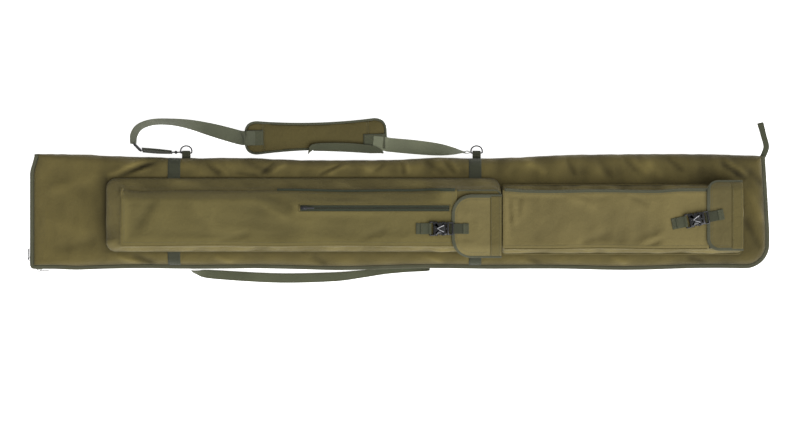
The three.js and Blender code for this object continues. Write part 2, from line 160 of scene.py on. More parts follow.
def crease(x, y, start, end, width, height):
    """A soft ridge, or a valley if height is negative, that fades at both ends of its line."""
    s, e = np.array(start, float), np.array(end, float)
    d = e - s
    length = float(np.hypot(*d))
    t = ((x - s[0]) * d[0] + (y - s[1]) * d[1]) / length**2
    off = ((x - s[0]) * -d[1] + (y - s[1]) * d[0]) / length
    fade = np.clip(1 - np.abs(2 * t - 1), 0, 1)
    return height * np.exp(-((off / width) ** 2)) * np.sqrt(ease(fade * 1.6))


def creased(height, x, y, creases, strength):
    """A height with each of the creases added."""
    for start, end, width, rise in creases:
        height = height + strength * crease(x, y, start, end, width, rise)
    return height


def soft_min(*values, softness=3.0):
    stack = np.stack(np.broadcast_arrays(*values))
    low = stack.min(0)
    return low - softness * np.log(np.exp(-(stack - low) / softness).sum(0)) + softness * math.log(1.02)


def smooth_path(points, per_span=8):
    """A Catmull-Rom curve through rows of numbers, all columns alike."""
    p = np.array(points, float)
    p = np.vstack([2 * p[0] - p[1], p, 2 * p[-1] - p[-2]])
    out = []
    for i in range(1, len(p) - 2):
        t = np.linspace(0, 1, per_span, endpoint=False)[:, None]
        a, b, c, d = p[i - 1], p[i], p[i + 1], p[i + 2]
        out.append(0.5 * (2 * b + (c - a) * t + (2 * a - 5 * b + 4 * c - d) * t**2
                          + (3 * b - a - 3 * c + d) * t**3))
    return np.vstack(out + [p[-2][None]])


def smooth_loop(points, per_span):
    """The same curve through a ring of points."""
    return smooth_path(np.vstack([points, points[:1]]), per_span)[:-1]


def lengths(path):
    """Each point's distance along its path."""
    return np.concatenate([[0], np.cumsum(np.linalg.norm(np.diff(path, axis=0), axis=1))])


def resample(path, step, closed=False):
    """Points at an even step along a path, with their tangents."""
    if closed:
        path = np.vstack([path, path[:1]])
    along = lengths(path)
    count = max(2, int(round(along[-1] / step)))
    at = (np.arange(count) + 0.5) * along[-1] / count
    points = spread(at, along, path)
    ahead = spread(np.minimum(at + 0.5, along[-1]), along, path)
    behind = spread(np.maximum(at - 0.5, 0), along, path)
    return points, unit(ahead - behind)


def unit(v):
    """Vectors at length 1."""
    return v / np.maximum(np.linalg.norm(v, axis=-1, keepdims=True), 1e-9)


def tangents(path, closed=False):
    """Unit directions along a path."""
    if closed:
        return unit(np.roll(path, -1, 0) - np.roll(path, 1, 0))
    return unit(np.gradient(path, axis=0))


def oval(width, height, count=16, power=2.0):
    """A closed superellipse section; a high power gives a rounded rectangle."""
    a = np.arange(count) / count * 2 * math.pi + math.pi / count
    c, s = np.cos(a), np.sin(a)
    return np.stack([width / 2 * np.sign(c) * np.abs(c) ** (2 / power),
                     height / 2 * np.sign(s) * np.abs(s) ** (2 / power)], 1)


# ------------------------------------------------------------------ mesh building
class Builder:
    """Collects patches of one piece, each with its own material slot, and makes the object."""

    def __init__(self):
        self.points, self.uvs, self.painted_shade_and_tone = [], [], []
        self.loops, self.sizes, self.slots = [], [], []
        self.count = 0

    def add(self, points, faces, uv, slot=0, painted_shade_and_tone=0.0):
        """Adds points and their faces, grouped by how many corners they have."""
        points = np.asarray(points, float).reshape(-1, 3)
        self.points.append(points)
        self.uvs.append(np.asarray(uv, float).reshape(-1, 2))
        self.painted_shade_and_tone.append(np.broadcast_to(np.asarray(painted_shade_and_tone, float).reshape(-1), (len(points),)))
        for group in faces:
            group = np.asarray(group)
            self.loops.append((group + self.count).ravel())
            self.sizes.append(np.full(len(group), group.shape[1]))
            self.slots.append(np.full(len(group), slot))
        self.count += len(points)

    def patch(self, grid, slot=0, painted_shade_and_tone=0.0, flip=False):
        """A sheet through a grid of points, unwrapped by its own lengths."""
        n, m = grid.shape[:2]
        i = np.arange(n * m).reshape(n, m)
        quads = np.stack([i[:-1, :-1], i[1:, :-1], i[1:, 1:], i[:-1, 1:]], -1).reshape(-1, 4)
        if flip:
            quads = quads[:, ::-1]
        u = np.concatenate([[0], np.cumsum(np.linalg.norm(np.diff(grid, axis=0), axis=2).mean(1))])
        v = np.concatenate([[0], np.cumsum(np.linalg.norm(np.diff(grid, axis=1), axis=2).mean(0))])
        uv = np.stack(np.meshgrid(u, v, indexing="ij"), -1)
        painted_shade_and_tone = np.broadcast_to(painted_shade_and_tone, (n, m)) if np.ndim(painted_shade_and_tone) else painted_shade_and_tone
        self.add(grid, [quads], uv, slot, painted_shade_and_tone)

    def plate(self, outer, inner, slots=(0, 0, 0), painted_shade_and_tone=0.0, closed=False):
        """A thick sheet between two grids. With closed, its first axis is a ring."""
        if closed:
            outer, inner = (np.concatenate([g, g[:1]]) for g in (outer, inner))
            if np.ndim(painted_shade_and_tone):
                painted_shade_and_tone = np.concatenate([painted_shade_and_tone, painted_shade_and_tone[:1]])
        self.patch(outer, slots[0], painted_shade_and_tone=painted_shade_and_tone)
        self.patch(inner, slots[1], flip=True)
        rims = [np.stack([outer[:, 0], inner[:, 0]], 1), np.stack([inner[:, -1], outer[:, -1]], 1)]
        if not closed:
            rims += [np.stack([inner[0], outer[0]], 1), np.stack([outer[-1], inner[-1]], 1)]
        for rim in rims:
            self.patch(rim, slots[2])

    def sweep(self, path, across, upward, section, slot=0, closed=False, size=None, painted_shade_and_tone=0.0):
        """A closed section carried along a path. size is a factor for each point of the path."""
        section = np.vstack([section, section[:1]])
        size = np.ones((len(path), 1)) if size is None else np.asarray(size, float)
        if size.ndim == 1:
            size = size[:, None]
        if size.shape[1] == 1:
            size = np.repeat(size, 2, 1)
        ring = (path[:, None] + across[:, None] * section[None, :, :1] * size[:, None, :1]
                + upward[:, None] * section[None, :, 1:] * size[:, None, 1:])
        if closed:
            ring = np.concatenate([ring, ring[:1]])
        self.patch(ring, slot, painted_shade_and_tone=painted_shade_and_tone)
        if not closed:
            for end, turn in ((ring[0, :-1], False), (ring[-1, :-1], True)):
                n = len(end)
                points = np.vstack([end, end.mean(0)])
                faces = fan(n)
                uv = np.stack([points @ across[0], points @ upward[0]], 1)
                self.add(points, [faces if turn else faces[:, ::-1]], uv, slot)

    def tube(self, path, radius, slot=0, closed=False, sides=12):
        """A round tube, its frames carried along without twist."""
        t = tangents(path, closed)
        first = np.cross(t[0], [0.31, 0.2, 0.93])
        across = [first / np.linalg.norm(first)]
        for k in range(1, len(path)):
            a = across[-1] - t[k] * (across[-1] @ t[k])
            across.append(a / np.linalg.norm(a))
        across = np.array(across)
        radius = np.broadcast_to(radius, (len(path),))
        self.sweep(path, across, np.cross(t, across), oval(2, 2, sides), slot, closed, size=radius)

    def capsules(self, centres, axes, normals, length, width, height, slot=0):
        """One small closed bead at each centre: a stitch, or a tooth of a zip."""
        side = np.cross(axes, normals)
        points = [centres - axes * length / 2]
        for shift in (-0.27, 0.27):
            for a, b in ((1, 0), (0, 1), (-1, 0), (0, -1)):
                points.append(centres + axes * length * shift + side * a * width / 2 + normals * b
                              * height / 2)
        points.append(centres + axes * length / 2)
        n = len(centres)
        points = np.stack(points, 1)
        base = (np.arange(n) * 10)[:, None]
        tri, quad = [], []
        for k in range(4):
            nxt = (k + 1) % 4
            tri.append(base + [0, 1 + nxt, 1 + k])
            quad.append(base + [1 + k, 1 + nxt, 5 + nxt, 5 + k])
            tri.append(base + [5 + k, 5 + nxt, 9])
        uv = np.stack([points @ [1, 0, 0], points @ [0, 1, 0]], -1)
        self.add(points, [np.vstack(tri), np.vstack(quad)], uv, slot)

    def stitches(self, path, normals, slot, pitch=4.4, closed=False, thread=0.9):
        """A row of lockstitch lying on a surface with these normals."""
        points, axes = resample(path, pitch, closed)
        if np.ndim(normals) == 2:
            source = np.vstack([path, path[:1]]) if closed else path
            n = np.vstack([normals, normals[:1]]) if closed else normals
            along = lengths(source)
            at = (np.arange(len(points)) + 0.5) * along[-1] / len(points)
            normals = unit(spread(at, along, n))
        else:
            normals = np.broadcast_to(np.array(normals, float), points.shape)
        self.capsules(points + normals * 0.15, axes, normals, pitch * 0.76, thread, thread * 0.8, slot)

    def make(self, name, materials, sharp=None):
        """Makes the object, in metres; sharp is the angle in degrees of its hard edges."""
        points = (np.vstack(self.points) + SHIFT) * MM
        loops = np.concatenate(self.loops).astype(np.int32)
        sizes = np.concatenate(self.sizes).astype(np.int32)
        mesh = bpy.data.meshes.new(name)
        mesh.vertices.add(len(points))
        mesh.vertices.foreach_set("co", points.ravel())
        mesh.loops.add(len(loops))
        mesh.loops.foreach_set("vertex_index", loops)
        mesh.polygons.add(len(sizes))
        mesh.polygons.foreach_set("loop_start", np.concatenate([[0], np.cumsum(sizes)[:-1]]).astype(np.int32))
        mesh.update(calc_edges=True)
        mesh.polygons.foreach_set("material_index", np.concatenate(self.slots).astype(np.int32))
        layer = mesh.uv_layers.new(name="UVMap")
        layer.data.foreach_set("uv", (np.vstack(self.uvs)[loops] * MM).astype(np.float32).ravel())
        painted_shade_and_tone = mesh.attributes.new("painted_shade_and_tone", "FLOAT", "POINT")
        painted_shade_and_tone.data.foreach_set("value", np.concatenate(self.painted_shade_and_tone).astype(np.float32))
        work = bmesh.new()
        work.from_mesh(mesh)
        bmesh.ops.remove_doubles(work, verts=work.verts, dist=WELD * MM)
        bmesh.ops.dissolve_degenerate(work, edges=work.edges, dist=0.001 * MM)
        bmesh.ops.recalc_face_normals(work, faces=work.faces)
        work.to_mesh(mesh)
        work.free()
        mesh.shade_smooth()
        if sharp is not None:
            mesh.set_sharp_from_angle(angle=math.radians(sharp))
        for material in materials:
            mesh.materials.append(material)
        piece = bpy.data.objects.new(name, mesh)
        bpy.context.scene.collection.objects.link(piece)
        return piece


def place(piece, body, slot, *nodes):
    """Rides a piece on a body and hides the CAD nodes it stands for. Its slot argument is not used."""
    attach(piece, body)
    if nodes:
        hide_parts(*nodes)
    return piece


# ------------------------------------------------------------------ materials
def shader(name, roughness, **constants):
    """A Principled material with these constants on its sockets."""
    material = bpy.data.materials.new(name)
    material.use_nodes = True
    tree = material.node_tree
    principled = tree.nodes["Principled BSDF"]
    principled.inputs["Roughness"].default_value = roughness
    for key, value in constants.items():
        principled.inputs[key.replace("_", " ")].default_value = value
    return material, tree, principled


def node(tree, kind, inputs=None, **settings):
    """A shader node whose inputs are either numbers or other nodes' outputs."""
    made = tree.nodes.new(kind)
    for key, value in settings.items():
        setattr(made, key, value)
    for key, value in (inputs or {}).items():
        if isinstance(value, bpy.types.NodeSocket):
            tree.links.new(value, made.inputs[key])
        else:
            made.inputs[key].default_value = value
    return made


def maths(tree, operation, a, b=None):
    inputs = {0: a} if b is None else {0: a, 1: b}
    return node(tree, "ShaderNodeMath", inputs, operation=operation).outputs[0]


def ramp(tree, value, low, high):
    """A 0 to 1 value mapped to low to high."""
    made = node(tree, "ShaderNodeMapRange", {"Value": value, "To Min": low, "To Max": high})
    return made.outputs["Result"]


def threads(tree, pitch_u, pitch_v):
    """The weave's two thread directions as sines of the unwrapped length and width."""
    where = node(tree, "ShaderNodeUVMap", uv_map="UVMap")
    split = node(tree, "ShaderNodeSeparateXYZ", {0: where.outputs[0]})
    waves = [maths(tree, "SINE", maths(tree, "MULTIPLY", split.outputs[axis], 2 * math.pi / (pitch * MM)))
             for axis, pitch in ((0, pitch_u), (1, pitch_v))]
    return waves, split


def tinted(tree, principled, colour, factors):
    """The base colour times a product of factors."""
    value = factors[0]
    for factor in factors[1:]:
        value = maths(tree, "MULTIPLY", value, factor)
    mixed = node(tree, "ShaderNodeVectorMath", {0: colour, "Scale": value}, operation="SCALE")
    tree.links.new(mixed.outputs[0], principled.inputs["Base Color"])


def painted_shade_factor(tree):
    """The painted shade, highlight and tone carried by the mesh attribute: a value of 1 lightens the colour
    by the share set at the top, and -1 darkens it.
    """
    attribute = node(tree, "ShaderNodeAttribute", attribute_name="painted_shade_and_tone")
    return maths(tree, "ADD", maths(tree, "MULTIPLY", attribute.outputs["Fac"], PAINTED_SHADE_SHARE), 1.0)


def cloth(name, colour, pitch=1.3, vary=0.16, rough=0.8, sheen=0.08, bump=0.35, fold=0.5):
    """Plain woven cloth: threads, slubs, blotchy fading and fine wrinkles."""
    material, tree, principled = shader(
        name, rough, Sheen_Weight=sheen, Sheen_Roughness=0.45, Specular_IOR_Level=0.2)
    waves, _ = threads(tree, pitch, pitch)
    weave = maths(tree, "MULTIPLY", waves[0], waves[1])
    where = node(tree, "ShaderNodeTexCoord").outputs["Object"]
    blotch = node(tree, "ShaderNodeTexNoise", {"Vector": where, "Scale": 9.0, "Detail": 5.0,
                                               "Roughness": 0.6})
    slub = node(tree, "ShaderNodeTexNoise", {"Vector": where, "Scale": 420.0, "Detail": 2.0})
    # the colour takes the blotches, the weave, the slubs and the painted shade and tone of the mesh attribute
    tinted(tree, principled, colour, [
        ramp(tree, blotch.outputs["Fac"], 1 - vary, 1 + vary), ramp(tree, weave, 0.93, 1.07),
        ramp(tree, slub.outputs["Fac"], 0.86, 1.14), painted_shade_factor(tree)])
    tree.links.new(ramp(tree, blotch.outputs["Fac"], rough - 0.1, rough + 0.1),
                   principled.inputs["Roughness"])
    rumple = node(tree, "ShaderNodeTexNoise", {"Vector": where, "Scale": 55.0, "Detail": 4.0,
                                               "Distortion": 0.6})
    fine = node(tree, "ShaderNodeBump", {"Height": weave, "Strength": bump, "Distance": 0.0004})
    coarse = node(tree, "ShaderNodeBump", {
        "Height": rumple.outputs["Fac"], "Strength": fold, "Distance": 0.004, "Normal": fine.outputs[0]})
    tree.links.new(coarse.outputs[0], principled.inputs["Normal"])
    return material


def webbing(name, colour, rib=2.2, cross=3.2, bump=0.8):
    """Strap webbing: ribs along the strap, picks across it, blotchy tone and the painted shade and tone of
    its attribute.
    """
    rough, vary = 0.72, 0.14
    material, tree, principled = shader(
        name, rough, Sheen_Weight=0.12, Sheen_Roughness=0.4, Specular_IOR_Level=0.28)
    waves, split = threads(tree, cross, rib)
    skew = maths(tree, "MULTIPLY", maths(tree, "ADD", split.outputs[0],
                                         maths(tree, "MULTIPLY", split.outputs[1], 0.9)),
                 2 * math.pi / (cross * MM))
    picks = maths(tree, "ABSOLUTE", maths(tree, "SINE", skew))
    ribs = maths(tree, "ABSOLUTE", waves[1])
    weave = maths(tree, "ADD", maths(tree, "MULTIPLY", ribs, 0.6), maths(tree, "MULTIPLY", picks, 0.4))
    where = node(tree, "ShaderNodeTexCoord").outputs["Object"]
    blotch = node(tree, "ShaderNodeTexNoise", {"Vector": where, "Scale": 22.0, "Detail": 4.0})
    tinted(tree, principled, colour, [
        ramp(tree, blotch.outputs["Fac"], 1 - vary, 1 + vary), ramp(tree, weave, 0.7, 1.12),
        painted_shade_factor(tree)])
    tree.links.new(ramp(tree, blotch.outputs["Fac"], rough - 0.08, rough + 0.1),
                   principled.inputs["Roughness"])
    relief = node(tree, "ShaderNodeBump", {"Height": weave, "Strength": bump, "Distance": 0.0007})
    tree.links.new(relief.outputs[0], principled.inputs["Normal"])
    return material


def moulded(name, colour, rough, metallic=0.0, grain=700.0, bump=0.12):
    """Moulded plastic or painted metal: fine grain, uneven gloss and rubbed patches."""
    material, tree, principled = shader(name, rough, Metallic=metallic, Specular_IOR_Level=0.55)
    where = node(tree, "ShaderNodeTexCoord").outputs["Object"]
    patch = node(tree, "ShaderNodeTexNoise", {"Vector": where, "Scale": 60.0, "Detail": 3.0})
    speck = node(tree, "ShaderNodeTexNoise", {"Vector": where, "Scale": grain, "Detail": 2.0})
    tinted(tree, principled, colour, [
        ramp(tree, patch.outputs["Fac"], 0.75, 1.3), ramp(tree, speck.outputs["Fac"], 0.9, 1.1)])
    tree.links.new(ramp(tree, patch.outputs["Fac"], rough - 0.06, rough + 0.12),
                   principled.inputs["Roughness"])
    relief = node(tree, "ShaderNodeBump", {"Height": speck.outputs["Fac"], "Strength": bump,
                                           "Distance": 0.0003})
    tree.links.new(relief.outputs[0], principled.inputs["Normal"])
    return material


# One olive oxford in copies of different brightness: the body cloth darker as painted shade, the pocket faces
# and gussets lighter as painted light, the upper pocket's face lightest.
OLIVE = cloth("olive_oxford", (0.098, 0.078, 0.0245))
FACE_CLOTH = dict(long=cloth("olive_face", (0.122, 0.1, 0.034)),
                  upper=cloth("olive_face_painted_light", (0.15, 0.121, 0.045)))
GUSSET = cloth("olive_gusset", (0.122, 0.099, 0.034), fold=0.65)
PAD_CLOTH = cloth("olive_pad", (0.082, 0.066, 0.021), pitch=1.6)
BACK_CLOTH = cloth("olive_back", (0.092, 0.08, 0.033), vary=0.1)
LINING = cloth("dark_lining", (0.032, 0.031, 0.022), pitch=0.9, rough=0.6, sheen=0.1, bump=0.2)
WEBBING = webbing("green_webbing", (0.062, 0.067, 0.038))
BAND_WEBBING = webbing("band_webbing", (0.04, 0.043, 0.024))
BINDING = webbing("edge_tape", (0.07, 0.071, 0.042), rib=1.4, cross=1.8, bump=0.5)
ZIP_CLOTH = webbing("zip_tape", (0.028, 0.034, 0.018), rib=1.2, cross=1.1, bump=0.4)
THREAD = webbing("thread", (0.105, 0.098, 0.05), rib=0.4, cross=0.5, bump=0.3)
DARK_THREAD = webbing("dark_thread", (0.04, 0.042, 0.024), rib=0.4, cross=0.5, bump=0.3)
BLACK = moulded("black_plastic", (0.006, 0.006, 0.007), 0.2)
# a grey copy of the black plastic for the glossy highlights on the buckles' V: a painted highlight
PAINTED_HIGHLIGHT = moulded("black_plastic_painted_highlight", (0.26, 0.26, 0.27), 0.16)
SATIN = moulded("satin_plastic", (0.011, 0.011, 0.012), 0.42, bump=0.3)
METAL = moulded("dark_metal", (0.02, 0.02, 0.022), 0.45, metallic=0.35, grain=400.0)
COIL_PLASTIC = moulded("coil_plastic", (0.018, 0.021, 0.012), 0.4)
FOAM = moulded("foam_block", (0.02, 0.02, 0.019), 0.9, grain=1600.0, bump=0.8)


# ------------------------------------------------------------------ the case's outline and its drape
SPINE_WAVE = np.array([
    [-1000, 5], [-860, 3], [-770, -1], [-665, -4], [-585, -7], [-430, -6], [-265, -12], [-90, -12], [0, -11],
    [106, -5], [205, -8], [310, -5], [425, 1], [620, 4], [800, 4], [940, 0.5], [1000, 0]], float)


def warp(points):
    """The slack of the spine edge and the lean of the tip end, in plan."""
    out = np.array(points, float)
    x, y = out[..., 0], out[..., 1]
    wave = smooth_path(SPINE_WAVE, 6)
    offset = np.interp(x, wave[:, 0], wave[:, 1])
    lean = 11 * ease((x - 850) / 130) * np.clip((y + 60) / 200, 0, 1)
    out[..., 0] = x - lean + 12 * ease((y - 92) / 50) * ease((-880 - x) / 90)
    sway = 1.8 * np.sin(x / 118.0) + 1.2 * np.sin(x / 61.0 + 1.0)
    out[..., 1] = y + offset * ease((y - 90) / 50) + sway * ease((-118 - y) / 30) * ease((x - LEFT - 60) / 80)
    return out


def case_distance(x, y, spine=False):
    """How far a point lies inside the case's plan outline."""
    d = np.minimum(np.minimum(x - LEFT, RIGHT - x), y - BOTTOM)
    cx, cy = RIGHT - CORNER, BOTTOM + CORNER
    corner = CORNER - np.hypot(np.maximum(x - cx, 0), np.maximum(cy - y, 0))
    d = np.where((x > cx) & (y < cy), corner, d)
    return np.minimum(d, TOP - y) if spine else d


def case_path(inset, step=6.0, top=TOP):
    """The zipped edge's plan path, from the spine round the butt end, along the mouth, to the spine again."""
    left, right, bottom = LEFT + inset, RIGHT - inset, BOTTOM + inset
    small, big = max(SMALL_CORNER - inset, 1.0), CORNER - inset
    points = [[left, top]]
    points += [[left + small - small * math.cos(a), bottom + small - small * math.sin(a)]
               for a in np.linspace(0, math.pi / 2, 7)]
    points += [[right - big + big * math.sin(a), bottom + big - big * math.cos(a)]
               for a in np.linspace(0, math.pi / 2, 17)]
    points += [[right, top]]
    path = np.array([[x, y, 0] for x, y in points], float)
    along = lengths(path)
    at = np.unique(np.concatenate([along, np.arange(0, along[-1], step)]))
    return spread(at, along, path)


def plan_normals(path, closed=False):
    """Unit normals in plan, on the right of the path's direction."""
    t = tangents(path, closed)
    return unit(np.stack([t[:, 1], -t[:, 0], 0 * t[:, 0]], 1))


EDGE_STEPS = np.array([0, 0.5, 1.4, 2.8, 4.8, 7.5, 11, 15.5, 21, 27.5, 35])


def case_grid(inset, top):
    """Plan points that crowd together near the case's edges, rows along X."""
    left, bottom = LEFT + inset, BOTTOM + inset
    big, step = CORNER - inset, GRID_STEP
    rows = np.concatenate([bottom + EDGE_STEPS, np.arange(bottom + 35 + step, top - 35 - 3, step),
                           top - EDGE_STEPS[::-1]])
    rise = np.clip(bottom + big - rows, 0, big)
    ends = RIGHT - inset - big + np.sqrt(np.maximum(big**2 - rise**2, 0))
    count = int((RIGHT - LEFT) / step)
    grid = []
    for y, end in zip(rows, ends):
        middle = np.linspace(left + 35, end - 35, count + 1)[1:-1]
        grid.append(np.stack([np.concatenate([left + EDGE_STEPS, middle, end - EDGE_STEPS[::-1]]),
                              np.full(count - 1 + 2 * len(EDGE_STEPS), y)], -1))
    return np.array(grid)


# ------------------------------------------------------------------ the front's padded surface
FRONT_CREASES = [
    ((-672, 142), (-780, 84), 9, 3.5), ((-660, 128), (-764, 74), 8, -3.5), ((-790, 96), (-960, 40), 16, 2.0),
    ((-718, -118), (-650, -148), 9, -3.0), ((-760, -120), (-690, -150), 8, 2.5),
    ((-940, 100), (-800, 20), 20, -2.2), ((-955, -20), (-810, -70), 22, 2.0), ((-930, -110), (-800, -80),
                                                                               15, -2.0),
    ((846, 128), (926, 78), 7, -3.4), ((860, 132), (935, 90), 7, 3.0), ((925, 60), (968, -40), 12, 2.2),
    ((915, -20), (960, -110), 10, -2.4), ((930, 110), (975, 60), 9, -2.0),
    ((-420, 138), (-330, 92), 10, -2.4), ((-120, 140), (-60, 90), 9, 2.2), ((60, 138), (120, 92), 9, -2.6),
    ((330, 138), (390, 92), 11, 2.4), ((520, 136), (570, 78), 10, -2.6), ((640, 136), (700, 80), 12, 2.4),
    ((-500, -118), (-440, -150), 9, 2.2), ((-240, -118), (-190, -150), 9, -2.2), ((60, -118), (120, -148),
                                                                                  8, 2.2),
    ((-154, 132), (-222, 84), 5, -2.6), ((-132, 134), (-196, 86), 6, 2.2), ((4, 138), (9, 88), 5, -2.6),
    ((17, 138), (24, 90), 5, 2.0), ((112, 138), (150, 90), 5, -2.4), ((134, 138), (160, 96), 5, 2.0),
    ((-330, 138), (-372, 90), 6, -2.6), ((-300, 136), (-350, 88), 6, 2.2), ((-520, 130), (-476, 88), 5, -2.6),
    ((-500, 136), (-455, 88), 5, 2.0), ((-444, 98), (-370, 88), 5, -2.4), ((440, 138), (470, 84), 6, -2.2),
    ((590, 136), (640, 90), 6, -2.2), ((612, 138), (665, 88), 6, 2.0), ((700, 138), (760, 96), 6, -2.2),
    ((-640, 132), (-740, 92), 6, -3.0), ((-655, 112), (-742, 88), 5, 2.4), ((-40, 134), (-76, 92), 6, -2.0),
    ((330, -122), (380, -150), 8, -2.4), ((560, -120), (610, -150), 8, 2.4), ((760, -124), (820, -148), 9,
                                                                              -2.4),
]


def outside_box(x, y, box):
    """Distance in plan to a rectangle, 0 inside it."""
    dx = np.maximum(np.maximum(box[0] - x, x - box[1]), 0)
    dy = np.maximum(np.maximum(box[2] - y, y - box[3]), 0)
    return np.hypot(dx, dy)


def pocket_gap(x, y):
    """Distance in plan to the nearer pocket."""
    return np.minimum(outside_box(x, y, LONG["base"]), outside_box(x, y, UPPER["base"]))


def front_folds(x, y):
    """The loose cloth's folds on the open parts of the front."""
    strip = ease((y - 84) / 16) * ease((x + 800) / 60)
    relief = (1.3 + 1.2 * strip) * ripple(x, y * 0.8, 42, 3)
    relief = relief + (0.7 + 1.2 * strip) * ripple(x * 1.3, y * 0.6, 19, 4)
    return creased(relief, x, y, FRONT_CREASES, 1.9)


def front_top(x, y, detail=1.0):
    """Height of the front's outer face."""
    d = case_distance(x, y) - RIM_WIDTH
    shoulder = 36 + 31 * dome(d / 36)
    spine = 35.5 + 31 * dome((TOP - 0.3 - y) / 34)
    butt = np.interp(x, [-990, -976, -945, -880, -770, -740], [36, 42, 51, 58, 66, 67.5])
    z = soft_min(shoulder, spine, butt, 0 * x + 66.6)
    free = ease(pocket_gap(x, y) / 16)
    edge = ease(np.minimum(d, TOP - y) / 14)
    bands = np.minimum(np.abs(x - BAND_X[0]), np.abs(x - BAND_X[1]))
    calm = free * edge * (0.35 + 0.65 * ease((bands - 14) / 25))
    z = z + detail * calm * front_folds(x, y)
    press = 1.6 * (1 - ease((bands - 15) / 12)) * edge
    return np.where(free < 0.02, np.minimum(z, 67.6), z) - press * free


def build_front():
    """The front's outer cloth and lining, with its folds, painted shade and highlights, and edge stitching.
    """
    plan = case_grid(RIM_WIDTH, TOP - 0.3)
    x, y = plan[..., 0], plan[..., 1]
    z = front_top(x, y)
    outer = warp(xyz(x, y, z))
    lining = np.maximum(33.8, front_top(x, y, 0.35) - 9.0) + 0.5 * ripple(x, y, 30, 9) * ease((z - 45) / 10)
    inner = warp(xyz(x, y, np.minimum(lining, z - 1.2)))
    gap = pocket_gap(x, y)
    d = np.minimum(case_distance(x, y) - RIM_WIDTH, TOP - y)
    # painted shade: darker next to the pockets and along the bound edges
    painted_shade_and_tone = -0.9 * np.exp(-gap / 6.0) - 0.8 * np.exp(-np.maximum(d, 0) / 5.0)
    butt_calm = 1 - 0.45 * ease((-790 - x) / 40)
    # painted highlight along the puffed shoulder, and painted fold shade: fold ridges lighter, valleys darker
    painted_shade_and_tone = (painted_shade_and_tone + 0.3 * np.exp(-((d - 24) / 12) ** 2)
            + 0.25 * front_folds(x, y) * ease(gap / 8) * butt_calm)
    # darker towards the right end, lighter over the flat butt end
    painted_shade_and_tone = painted_shade_and_tone - 0.75 * ease((x - 640) / 200) + 0.35 * ease((-800 - x) / 60)
    # painted shadow that the long pocket casts on the cloth to its left
    painted_pocket_shadow = ease((-774 - x) / 10) * ease((x + 822) / 44) * ease((y + 95) / 60) * ease((112 - y) / 40)
    painted_shade_and_tone = painted_shade_and_tone - 1.3 * painted_pocket_shadow
    b = Builder()
    b.plate(outer, inner, (0, 1, 0), painted_shade_and_tone=painted_shade_and_tone)
    loop = case_path(RIM_WIDTH + 3.2, 5.0, TOP - 4)
    loop[:, 2] = front_top(loop[:, 0], loop[:, 1]) + 0.2
    inward = -plan_normals(loop)
    b.stitches(warp(loop), unit(-inward * 0.75 + [0, 0, 0.65]), 2)
    piece = b.make("front_shell", [OLIVE, LINING, THREAD])
    place(piece, "case_front", "olive_cloth", "front_panel", "front_lining")


def build_rim(name, body, slot_name, nodes, z0, z1, wave, seed):
    """A tape folded over the raw edge and stitched down."""
    path = case_path(RIM_WIDTH / 2 + 0.1, 5.0)
    path[:, 2] = (z0 + z1) / 2 + wave * ripple(lengths(path), 0 * path[:, 0], 60, seed)
    normals = plan_normals(path)
    along = lengths(path)
    size = np.stack([1 + 0.05 * sway(along, 45, seed + 1), 1 + 0.07 * sway(along, 30, seed + 2)], 1)
    section = oval(RIM_WIDTH + 0.6, z1 - z0, 18, 3.2)
    b = Builder()
    path = warp(path)
    b.sweep(path, normals, every(path, [0, 0, 1.0]), section, 0, size=size,
            painted_shade_and_tone=(0.25 * sway(along, 35, seed + 3))[:, None] + np.zeros(19))
    for side, up in ((-2.9, 1), (3.2, 1)):
        row = path + normals * side + [0, 0, (z1 - z0) / 2 - 0.25]
        b.stitches(row, [0, 0, up], 1, pitch=3.8)
    place(b.make(name, [BINDING, THREAD]), body, slot_name, *nodes)


# ------------------------------------------------------------------ the back shell
def back_bottom(x, y):
    """Height of the back's underside, which curls up at its edges."""
    d = case_distance(x, y, spine=True)
    return 1.7 + 18.4 * (1 - dome(d / 15)) + 0.35 * (1 + ripple(x, y, 50, 21)) * ease(d / 20)


def build_back():
    """The back shell with its lining, and the spine's cloth between the halves."""
    plan = case_grid(0.6, TOP - 1.6)
    x, y = plan[..., 0], plan[..., 1]
    d = case_distance(x, y, spine=True)
    outer = warp(xyz(x, y, back_bottom(x, y)))
    floor = 10.2 + 9.9 * (1 - ease((d - 6) / 9)) + 0.5 * ripple(x, y, 36, 22) * ease((d - 12) / 10)
    inner = warp(xyz(x, y, floor))
    b = Builder()
    b.plate(inner, outer, (1, 0, 0))
    place(b.make("back_shell", [BACK_CLOTH, LINING]), "case_back", "olive_cloth",
          "back_panel", "back_gusset", "back_lining")

    s = Builder()
    xs = np.arange(LEFT + 5, RIGHT - 4, 7.0)
    heights = np.array([9, 12, 16, 20, 24, 28, 31, 34, 36.5, 38.5])
    gx, gz = crossed(xs, heights)
    puff = 1.8 * np.sin(np.pi * (gz - 9) / 29.5) + 0.7 * ripple(gx, gz * 2, 30, 31)
    outside = warp(xyz(gx, np.full_like(gx, TOP - 2.4), gz)) + xyz(0 * gx, 1.5 + puff, 0 * gx)
    inside = warp(xyz(gx, np.full_like(gx, TOP - 2.4), gz)) + xyz(0 * gx, puff - 0.6, 0 * gx)
    s.plate(outside, inside, (0, 1, 0))
    piece = s.make("spine_cloth", [OLIVE, LINING])
    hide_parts("spine_panel")
    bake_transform(piece)


